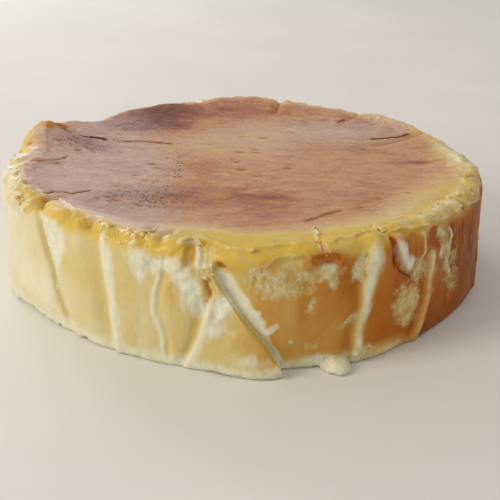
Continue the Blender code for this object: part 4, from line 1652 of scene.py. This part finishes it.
@dataclass(frozen=True)
class Crumbs:
    """Beads and crumbs of torn custard along the rim and the foot, sunk a little into the cake.

    Args:
        cake: The cake that they sit on.
        faces: Subdivisions of the ball that each starts as.
        sunk: Share of each crumb that is under the surface.
        lumpiness: How uneven a crumb is, as a share of its size.
    """

    cake: Cheesecake
    faces: int = 2
    sunk: float = 0.45
    lumpiness: float = 0.42

    def build(self) -> Object:
        """Makes the crumbs as one piece."""
        draw = random.Random(SPILL_SEED)
        crumbs = list(BEADS)
        for spill in SPILLS:
            crumbs += spill.crumbs(draw)
        azimuth, climb = np.array([(crumb.azimuth, crumb.climb * MM) for crumb in crumbs]).T
        surface = self.cake.surface(azimuth, climb)
        places = surface.position(surface.relief)
        deselect_all()
        bpy.ops.mesh.primitive_ico_sphere_add(subdivisions=self.faces, radius=1.0)
        ball = bpy.context.active_object
        form = vertices(ball.data)
        pieces = []
        for number, (crumb, place, out) in enumerate(zip(crumbs, places, surface.normal)):
            piece = ball.copy()
            piece.data = ball.data.copy()
            bpy.context.scene.collection.objects.link(piece)
            set_vertices(piece.data, place + self.shape(form, crumb, out, number))
            pieces.append(piece)
        bpy.data.objects.remove(ball, do_unlink=True)
        joined = join(pieces, "custard_crumbs")
        bpy.ops.object.shade_smooth()
        return joined

    def shape(self, form: Array, crumb: Crumb, out: Array, number: int) -> Array:
        """Points of one crumb about the place where it sits.

        Args:
            form: Points of the ball.
            crumb: The crumb.
            out: The way out of the surface there.
            number: Its number, which picks its unevenness.

        Returns:
            Its points.
        """
        uneven = 1.0 + self.lumpiness * ripple(form + 3.1 * number, 0.9, 61)
        stretch = 1.0 + 0.45 * math.sin(2.4 * number)
        way = Vector((math.cos(number), math.sin(number), math.cos(1.7 * number))).normalized()
        drawn = form + (form @ np.array(way))[:, None] * np.array(way) * (stretch - 1.0)
        ball = drawn * uneven[:, None] * crumb.size * MM
        along = ball @ out
        flat = ball - along[:, None] * out
        depth = 0.8 * crumb.stand / crumb.size / (1.0 - self.sunk)
        return flat + (along * depth + (0.5 - self.sunk) * crumb.stand * MM)[:, None] * out


@dataclass(frozen=True)
class Flakes:
    """Thin scraps of skin that the paper pulled up.

    Args:
        cake: The cake that they stand on.
        length_cuts: Rows of each along its spine.
    """

    cake: Cheesecake
    length_cuts: int = 12

    def build(self) -> Object:
        """Makes the flakes as one piece."""
        joined = join([self.flake(flake) for flake in FLAKES], "torn_flakes")
        bpy.ops.object.shade_smooth()
        return joined

    def flake(self, flake: Flake) -> Object:
        """Makes one flake: a strip along its spine, given its thickness."""
        deselect_all()
        bpy.ops.mesh.primitive_grid_add(x_subdivisions=3, y_subdivisions=self.length_cuts, size=2.0)
        piece = bpy.context.active_object
        grid = vertices(piece.data)
        along = 0.5 * (grid[:, 1] + 1.0)
        stops = np.linspace(0.0, 1.0, len(flake.spine))
        azimuths, climbs, lifts = np.array(flake.spine).T
        azimuth, climb = np.interp(along, stops, azimuths), np.interp(along, stops, climbs) * MM
        surface = self.cake.surface(azimuth, climb)
        lift = np.interp(along, stops, lifts) * MM
        spine = surface.position(surface.relief) + surface.normal * lift[:, None]
        ahead = Surface(self.cake.form, azimuth + 0.2, climb).smooth - surface.smooth
        ahead = ahead / np.linalg.norm(ahead, axis=1)[:, None]
        half = np.interp(along, (0.0, 0.5, 1.0), flake.widths) * MM
        ragged = 1.0 + 0.35 * ripple(spine + grid, 0.8 * MM, 71)
        curl = 0.35 * half * grid[:, 0] ** 2
        places = spine + ahead * (grid[:, 0] * half * ragged)[:, None] - surface.normal * curl[:, None]
        set_vertices(piece.data, places)
        thicken = piece.modifiers.new("Thickness", "SOLIDIFY")
        thicken.thickness, thicken.offset = flake.thickness * MM, 0.0
        smooth = piece.modifiers.new("Softened", "SUBSURF")
        smooth.levels = smooth.render_levels = 1
        for modifier in (thicken, smooth):
            bpy.ops.object.modifier_apply(modifier=modifier.name)
        face_outwards()
        return piece


Tree = bpy.types.NodeTree
Socket = bpy.types.NodeSocket
Marks = dict[Mark, Socket]
Stops = tuple[tuple[float, str], ...]

# Sockets of the Mix node, and its settings for colours.
FACTOR, NUMBER_A, NUMBER_B, COLOUR_A, COLOUR_B = 0, 2, 3, 6, 7
COLOURS = {"out": 2, "data_type": "RGBA"}
# How far red, green and blue light passes through custard, against one another.
SCATTER = (1.0, 0.62, 0.30)
# A bump node that reads its height in metres.
FULL_BUMP = {"Strength": 1.0, "Distance": 1.0}


def add(
    tree: Tree,
    kind: str,
    inputs: dict[str | int, object] | None = None,
    out: str | int = 0,
    stops: Stops = (),
    **settings: object,
) -> Socket:
    """Adds a node with its settings and links.

    Args:
        tree: The node tree.
        kind: The node's type, without the word that all shader nodes share.
        inputs: A value, or the socket that feeds it, for each input named.
        out: The output that is given back.
        stops: Places and colours of a colour ramp, the first and the last of them first.
        settings: The node's own settings.

    Returns:
        The output socket.
    """
    node = tree.nodes.new("ShaderNode" + kind)
    for name, value in settings.items():
        setattr(node, name, value)
    for number, (place, colour) in enumerate(stops):
        elements = node.color_ramp.elements
        element = elements[number] if number < 2 else elements.new(place)
        element.position = place
        element.color = linear(colour)
    for name, value in (inputs or {}).items():
        if isinstance(value, Socket):
            tree.links.new(value, node.inputs[name])
        else:
            node.inputs[name].default_value = value
    return node.outputs[out]


def new_material(name: str) -> tuple[bpy.types.Material, Tree]:
    """An empty material with nodes."""
    material = bpy.data.materials.new(name)
    material.use_nodes = True
    material.node_tree.nodes.clear()
    return material, material.node_tree


def add_output(tree: Tree, shader: Socket) -> None:
    """Ends a material in its output."""
    output = tree.nodes.new("ShaderNodeOutputMaterial")
    tree.links.new(shader, output.inputs["Surface"])


@dataclass(frozen=True)
class BakedCustard:
    """Baked cream cheese custard in its own skin.

    Set custard is dense, smooth and a little translucent, so light softens inside it. Against the paper
    it browned from cream to caramel, and where the paper pulled its skin off the pale crumb is dull and
    pitted. The oven's heat gave the top a satin brown skin, wrinkled and freckled by burst bubbles.

    Args:
        wall: Colours of the wall, from unbrowned to caramel.
        top: Colours of the top, from yellow custard to dark brown.
        bleached: Colours of custard where a fold of the paper kept the heat off.
        crumb: Colours of the torn crumb, from the bottom of its pits up.
        bloom: Colours of the painted mauve-grey sheen, a painted reflection of the light on the skin.
        char: Colours of the painted shade inside cracks, cuts, pits and pockets, warm to dark brown.
        freckle: Colour of burst bubbles.
        subsurface: Share of the light that passes through the custard.
        depth: How far light passes.
        ior: Index of refraction, that of set custard, which is largely water and fat.
        shine: Strength of its reflections, low because the skin is finely uneven.
        wet: Roughness of the film of moisture and fat that beads on the rim.
        film: How much of the rim the film covers.
        satin: Lowest and highest roughness of the skin.
        moist: Roughness where custard glazed the skin.
        dull: Roughness of the torn crumb.
    """

    wall: Stops = (
        (0.0, "#e6dfc2"), (1.0, "#8a4a10"), (0.18, "#dccd9a"), (0.36, "#d6bb72"), (0.54, "#d0a654"),
        (0.70, "#c6883a"), (0.84, "#b36010"),
    )
    top: Stops = (
        (0.0, "#d9b850"), (1.0, "#7c4738"), (0.09, "#dbbf78"), (0.20, "#d8b478"), (0.34, "#d2aa7c"),
        (0.50, "#c89a74"), (0.66, "#b9805a"), (0.82, "#9c6149"),
    )
    bleached: Stops = ((0.35, "#e0dab8"), (0.65, "#eae9da"), (0.5, "#e5e2c8"))
    crumb: Stops = (
        (0.30, "#b8924a"), (0.70, "#e8dfba"), (0.40, "#cdb46e"), (0.50, "#d8c88e"), (0.60, "#e0d6a8"),
    )
    bloom: Stops = ((0.25, "#d9c2b8"), (0.85, "#a2857c"), (0.50, "#cbb0a5"))
    char: Stops = ((0.25, "#a86c3c"), (1.0, "#351a10"), (0.60, "#7a4428"))
    freckle: str = "#6e4a3b"
    subsurface: float = 0.18
    depth: float = 3.5 * MM
    ior: float = 1.38
    shine: float = 0.20
    wet: float = 0.18
    film: float = 0.45
    satin: tuple[float, float] = (0.36, 0.50)
    moist: float = 0.20
    dull: float = 0.72

    def make(self) -> bpy.types.Material:
        """Makes the material."""
        material, tree = new_material("baked_custard_skin")
        node = partial(add, tree)
        place = node("TexCoord", out="Object")
        mark = {each: node("Attribute", out="Fac", attribute_name=each.value) for each in Mark}
        torn = self.torn_mask(tree, place, mark[Mark.TORN])
        lace = self.lace(tree, place)
        wrinkle = self.wrinkle(tree, place)
        freckle = self.freckles(tree, place, mark[Mark.FRECKLE])
        # Painted shade: the darkening inside cracks, cuts, pits and pockets.
        painted_shade_cover = node("Math", {0: mark[Mark.CHAR], 1: 1.5}, operation="MULTIPLY", use_clamp=True)
        pale = self.feathered(tree, place, mark[Mark.PALE])
        colour = self.wall_colour(tree, place, mark)
        for cover, above in (
            (mark[Mark.ROLL], self.top_colour(tree, place, mark, wrinkle, freckle)),
            (pale, node("ValToRGB", {"Fac": lace}, stops=self.bleached)),
            (painted_shade_cover, node("ValToRGB", {"Fac": mark[Mark.CHAR]}, stops=self.char)),
            (torn, node("ValToRGB", {"Fac": lace}, stops=self.crumb)),
        ):
            colour = node("Mix", {FACTOR: cover, COLOUR_A: colour, COLOUR_B: above}, **COLOURS)
        shader = node("BsdfPrincipled", {
            "Base Color": colour,
            "Roughness": self.roughness(tree, mark, torn, wrinkle),
            "IOR": self.ior,
            "Specular IOR Level": self.shine,
            "Subsurface Weight": self.subsurface,
            "Subsurface Radius": SCATTER,
            "Subsurface Scale": self.depth,
            "Coat Weight": node("Math", {0: mark[Mark.GLAZE], 1: self.film}, operation="MULTIPLY"),
            "Coat Roughness": self.wet,
            "Normal": self.bump(tree, place, mark, torn, lace, wrinkle, freckle),
        })
        add_output(tree, shader)
        return material

    def torn_mask(self, tree: Tree, place: Socket, torn: Socket) -> Socket:
        """Where the skin is gone, with a ragged edge and islands a millimetre across."""
        coarse = {"Vector": place, "Scale": 1 / (3.4 * MM), "Detail": 5.0, "Roughness": 0.72}
        edge = add(tree, "Math", {0: add(tree, "TexNoise", coarse), 1: 3.0, 2: torn}, operation="MULTIPLY_ADD")
        return add(tree, "MapRange", {"Value": edge, "From Min": 1.20, "From Max": 2.10, "To Max": 0.88})

    def bent(self, tree: Tree, place: Socket, size: float, reach: float, scale: tuple[float, ...]) -> Socket:
        """Places pushed about by a slow noise of some size, up to some reach, and then scaled."""
        noise = add(tree, "TexNoise", {"Vector": place, "Scale": 1 / size, "Detail": 2.0}, out="Color")
        moved = add(tree, "VectorMath", {0: noise, 1: (reach,) * 3, 2: place}, operation="MULTIPLY_ADD")
        return add(tree, "Mapping", {"Vector": moved, "Scale": scale})

    def lace(self, tree: Tree, place: Socket) -> Socket:
        """The crumb's upright strands and pits, 3 mm apart: real ones are finer, and wouldn't show."""
        bent = self.bent(tree, place, 4.0 * MM, 4.0 * MM, (1.0, 1.0, 0.65))
        strands = {"Vector": bent, "Scale": 1 / (3.0 * MM), "Detail": 3.5, "Roughness": 0.55}
        return add(tree, "TexNoise", strands)

    def feathered(self, tree: Tree, place: Socket, pale: Socket) -> Socket:
        """Bleaching that ends in upright streaks and flecks 2 to 5 mm long, as the paper's fibres left it."""
        node = partial(add, tree)
        upright = node("Mapping", {"Vector": place, "Scale": (1.0, 1.0, 0.5)})
        streaks = {"Vector": upright, "Scale": 1 / (4.5 * MM), "Detail": 4.0, "Roughness": 0.6}
        streaks = node("TexNoise", streaks)
        value = node("Math", {0: streaks, 1: 1.4, 2: pale}, operation="MULTIPLY_ADD")
        return node("MapRange", {"Value": value, "From Min": 0.95, "From Max": 1.65})

    def wrinkle(self, tree: Tree, place: Socket) -> Socket:
        """Wrinkles of the top's skin: drawn out along X, 2 to 3 mm from one to the next."""
        turn = (0.0, 0.0, math.radians(-4.0))
        drawn = add(tree, "Mapping", {"Vector": place, "Scale": (0.75, 1.9, 1.0), "Rotation": turn})
        noise = {"Vector": drawn, "Scale": 1 / (6.0 * MM), "Detail": 5.0, "Roughness": 0.66, "Distortion": 0.9}
        return add(tree, "TexNoise", noise)

    def freckles(self, tree: Tree, place: Socket, density: Socket) -> Socket:
        """Burst bubbles under a millimetre wide, more of them where the density is high."""
        node = partial(add, tree)
        drawn = self.bent(tree, place, 2.5 * MM, 3.0 * MM, (1.0, 0.7, 1.0))
        tint = node("TexVoronoi", {"Vector": drawn, "Scale": 1 / (1.8 * MM)}, out="Color")
        chosen = node("SeparateColor", {"Color": tint}, out="Red")
        size = node("Math", {0: density, 1: chosen}, operation="SUBTRACT")
        size = node("MapRange", {"Value": size, "From Min": 0.0, "From Max": 1.1, "To Max": 0.46})
        gap = node("Math", {0: size, 1: tint.node.outputs["Distance"]}, operation="SUBTRACT")
        return node("MapRange", {"Value": gap, "From Min": 0.0, "From Max": 0.10})

    def wall_colour(self, tree: Tree, place: Socket, mark: Marks) -> Socket:
        """Amber of the wall, partly browning and partly painted shade, in soft clouds 9 to 30 mm across."""
        node = partial(add, tree)
        clouds = node("TexNoise", {"Vector": place, "Scale": 1 / (26 * MM), "Detail": 4.0, "Roughness": 0.55})
        amber = node("Math", {0: clouds, 1: 0.34, 2: mark[Mark.AMBER]}, operation="MULTIPLY_ADD")
        amber = node("Math", {0: amber, 1: 0.17}, operation="SUBTRACT")
        return node("ValToRGB", {"Fac": amber}, stops=self.wall)

    def top_colour(self, tree: Tree, place: Socket, mark: Marks, wrinkle: Socket, freckle: Socket) -> Socket:
        """Brown of the top, darker along its wrinkles and in its bubbles, greyed by a painted sheen at the
        left.
        """
        node = partial(add, tree)
        clouds = node("TexNoise", {"Vector": place, "Scale": 1 / (34 * MM), "Detail": 3.0})
        flat = node("Mapping", {"Vector": place, "Scale": (1.0, 2.6, 1.0)})
        smudges = node("TexNoise", {"Vector": flat, "Scale": 1 / (15 * MM), "Detail": 4.0, "Roughness": 0.6})
        brown = node("Math", {0: mark[Mark.BROWN], 1: 0.62}, operation="MULTIPLY")
        for source, share in ((clouds, 0.30), (wrinkle, 0.62), (smudges, 0.5)):
            brown = node("Math", {0: source, 1: share, 2: brown}, operation="MULTIPLY_ADD")
        brown = node("Math", {0: brown, 1: 0.77}, operation="SUBTRACT")
        skin = node("ValToRGB", {"Fac": brown}, stops=self.top)
        # Painted reflection: the skin is greyed towards mauve where the painted sheen lies.
        ragged = node("Math", {0: smudges, 1: 1.6, 2: mark[Mark.BLOOM]}, operation="MULTIPLY_ADD")
        dull = node("MapRange", {"Value": ragged, "From Min": 0.8, "From Max": 1.8, "To Max": 0.85})
        grey = node("ValToRGB", {"Fac": brown}, stops=self.bloom)
        skin = node("Mix", {FACTOR: dull, COLOUR_A: skin, COLOUR_B: grey}, **COLOURS)
        spots = node("Math", {0: freckle, 1: 0.68}, operation="MULTIPLY")
        return node("Mix", {FACTOR: spots, COLOUR_A: skin, COLOUR_B: linear(self.freckle)}, **COLOURS)

    def roughness(self, tree: Tree, mark: Marks, torn: Socket, wrinkle: Socket) -> Socket:
        """Satin skin, glossier where custard glazed it, dull where it tore."""
        low, high = self.satin
        across = {"Value": wrinkle, "From Min": 0.3, "From Max": 0.7, "To Min": low, "To Max": high}
        skin = add(tree, "MapRange", across)
        skin = add(tree, "Mix", {FACTOR: mark[Mark.GLAZE], NUMBER_A: skin, NUMBER_B: self.moist})
        return add(tree, "Mix", {FACTOR: torn, NUMBER_A: skin, NUMBER_B: self.dull})

    def bump(
        self,
        tree: Tree,
        place: Socket,
        mark: Marks,
        torn: Socket,
        lace: Socket,
        wrinkle: Socket,
        freckle: Socket,
    ) -> Socket:
        """Relief too fine for the mesh: the height of each kind in millimetres, all added up in metres."""
        node = partial(add, tree)
        grain = node("TexNoise", {"Vector": place, "Scale": 1 / (1.6 * MM), "Detail": 3.0})
        waves = node("TexNoise", {"Vector": place, "Scale": 1 / (6.5 * MM), "Detail": 2.0})
        upright = node("Mapping", {"Vector": place, "Scale": (1.0, 1.0, 0.22)})
        crinkles = {"Vector": upright, "Scale": 1 / (4.0 * MM), "Detail": 3.0, "Distortion": 0.4}
        crinkles = node("TexNoise", crinkles)
        folds = node("Math", {0: wrinkle, 1: mark[Mark.BROWN]}, operation="MULTIPLY")
        pitted = node("Math", {0: lace, 1: 0.5}, operation="SUBTRACT")
        pitted = node("Math", {0: pitted, 1: torn}, operation="MULTIPLY")
        height = node("Math", {0: grain, 1: 0.16 * MM}, operation="MULTIPLY")
        for source, size in ((waves, 0.40), (crinkles, 0.30), (folds, 0.9), (freckle, -0.25), (pitted, 2.2)):
            height = node("Math", {0: source, 1: size * MM, 2: height}, operation="MULTIPLY_ADD")
        return node("Bump", {**FULL_BUMP, "Height": height})


@dataclass(frozen=True)
class TornCustard:
    """Bare custard in beads and scraps: pale yellow, moist and shiny, and quite translucent.

    Args:
        name: Name of the material.
        colours: Its colours, from its hollows up.
        roughness: Its roughness, low because fat beads on it.
        ior: Index of refraction, a little above that of the skin, because the beads are fatter.
        subsurface: Share of the light that passes through it.
        depth: How far light passes.
        grain: Height of its grain.
    """

    name: str = "torn_moist_custard"
    colours: Stops = ((0.25, "#cba650"), (0.75, "#e8dcae"), (0.5, "#dcc47e"))
    roughness: float = 0.26
    ior: float = 1.44
    subsurface: float = 0.3
    depth: float = 2.0 * MM
    grain: float = 0.22 * MM

    def make(self) -> bpy.types.Material:
        """Makes the material."""
        material, tree = new_material(self.name)
        node = partial(add, tree)
        place = node("TexCoord", out="Object")
        clouds = node("TexNoise", {"Vector": place, "Scale": 1 / (4.0 * MM), "Detail": 4.0})
        grain = node("TexNoise", {"Vector": place, "Scale": 1 / (0.9 * MM), "Detail": 2.0})
        height = node("Math", {0: grain, 1: self.grain}, operation="MULTIPLY")
        shader = node("BsdfPrincipled", {
            "Base Color": node("ValToRGB", {"Fac": clouds}, stops=self.colours),
            "Roughness": self.roughness,
            "IOR": self.ior,
            "Subsurface Weight": self.subsurface,
            "Subsurface Radius": SCATTER,
            "Subsurface Scale": self.depth,
            "Normal": node("Bump", {**FULL_BUMP, "Height": height}),
        })
        add_output(tree, shader)
        return material


@dataclass(frozen=True)
class MattPaper:
    """Matt studio paper: pale, warm and without a shine, its fibres too fine to see.

    Args:
        colours: Its two nearly equal colours.
        roughness: Its roughness.
    """

    colours: Stops = ((0.3, "#e4e0d9"), (0.7, "#eae6df"))
    roughness: float = 0.9

    def make(self) -> bpy.types.Material:
        """Makes the material."""
        material, tree = new_material("matt_studio_paper")
        place = add(tree, "TexCoord", out="Object")
        clouds = add(tree, "TexNoise", {"Vector": place, "Scale": 1 / (120 * MM), "Detail": 3.0})
        colour = add(tree, "ValToRGB", {"Fac": clouds}, stops=self.colours)
        add_output(tree, add(tree, "BsdfPrincipled", {"Base Color": colour, "Roughness": self.roughness}))
        return material


@dataclass(frozen=True)
class SoftLight:
    """A soft square light that points at the cake.

    Args:
        name: Its name.
        place: Where it hangs.
        size: Its side.
        power: Its power in watts.
        colour: Its colour.
    """

    name: str
    place: tuple[float, float, float]
    size: float
    power: float
    colour: str = "#ffffff"

    def make(self, aim: Vector) -> None:
        """Hangs the light and aims it."""
        bpy.ops.object.light_add(type="AREA", location=self.place)
        lamp = bpy.context.active_object
        lamp.name = self.name
        lamp.rotation_euler = (aim - Vector(self.place)).to_track_quat("-Z", "Y").to_euler()
        lamp.data.size = self.size
        lamp.data.energy = self.power
        lamp.data.color = linear(self.colour)[:3]


@dataclass(frozen=True)
class Studio:
    """The plain floor, the soft light and the camera.

    Args:
        floor_radius: Radius of the round floor.
        floor_gap: How far the floor lies under the cake's base.
        room: Colour of the light from all round.
        room_strength: Its strength.
        lights: The soft lights.
        lens: Focal length in millimetres, on a sensor 36 mm wide.
        camera_place: Where the camera stands.
        camera_pitch: How far it is raised from looking straight down, in degrees.
        camera_roll: How far it is turned about its own axis, in degrees.
        aim: Where the lights point.
    """

    floor_radius: float = 3.0
    floor_gap: float = 0.2 * MM
    room: str = "#f2efe9"
    room_strength: float = 0.60
    lights: tuple[SoftLight, ...] = (
        SoftLight("window_light", (-1.0, -0.55, 0.72), 0.5, 7.6, "#fff8ee"),
        SoftLight("back_light", (-0.60, 0.95, 0.62), 0.6, 4.5, "#f4f2ff"),
    )
    lens: float = 72.0
    camera_place: tuple[float, float, float] = (0.00251, -0.47447, 0.21732)
    camera_pitch: float = 65.9
    camera_roll: float = 2.38
    aim: tuple[float, float, float] = (0.0, 0.0, 30 * MM)

    def build(self) -> None:
        """Sets up the floor, the lights and the camera."""
        deselect_all()
        bpy.ops.mesh.primitive_circle_add(vertices=96, radius=self.floor_radius, fill_type="NGON")
        floor = bpy.context.active_object
        floor.name = "studio_floor"
        floor.data.transform(Matrix.Translation((0.0, 0.0, -self.floor_gap)))
        floor.data.materials.append(MattPaper().make())
        world = bpy.data.worlds.new("studio_room")
        world.use_nodes = True
        background = world.node_tree.nodes["Background"]
        background.inputs["Color"].default_value = linear(self.room)
        background.inputs["Strength"].default_value = self.room_strength
        bpy.context.scene.world = world
        for light in self.lights:
            light.make(Vector(self.aim))
        camera = bpy.data.objects.new("camera", bpy.data.cameras.new("camera"))
        bpy.context.scene.collection.objects.link(camera)
        camera.data.lens = self.lens
        camera.data.clip_start = 0.01
        camera.matrix_world = (
            Matrix.Translation(self.camera_place)
            @ Matrix.Rotation(math.radians(self.camera_pitch), 4, "X")
            @ Matrix.Rotation(math.radians(self.camera_roll), 4, "Z")
        )
        bpy.context.scene.camera = camera
        bpy.context.scene.view_settings.view_transform = "Standard"


def dress(piece: Object, material: bpy.types.Material) -> None:
    """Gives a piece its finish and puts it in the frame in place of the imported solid."""
    piece.data.materials.clear()
    piece.data.materials.append(material)
    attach(piece, BODY)
    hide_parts(NODE)
    mesh = piece.data
    log.info("%s: %d vertices, %d faces", piece.name, len(mesh.vertices), len(mesh.polygons))


def main() -> None:
    """Builds the cake and its studio."""
    logging.basicConfig(level=logging.INFO, format="%(name)s: %(message)s")
    cake = Cheesecake()
    dress(cake.build(), BakedCustard().make())
    torn = TornCustard().make()
    dress(Crumbs(cake).build(), torn)
    dress(Flakes(cake).build(), torn)
    Studio().build()


if __name__ == "__main__":
    main()
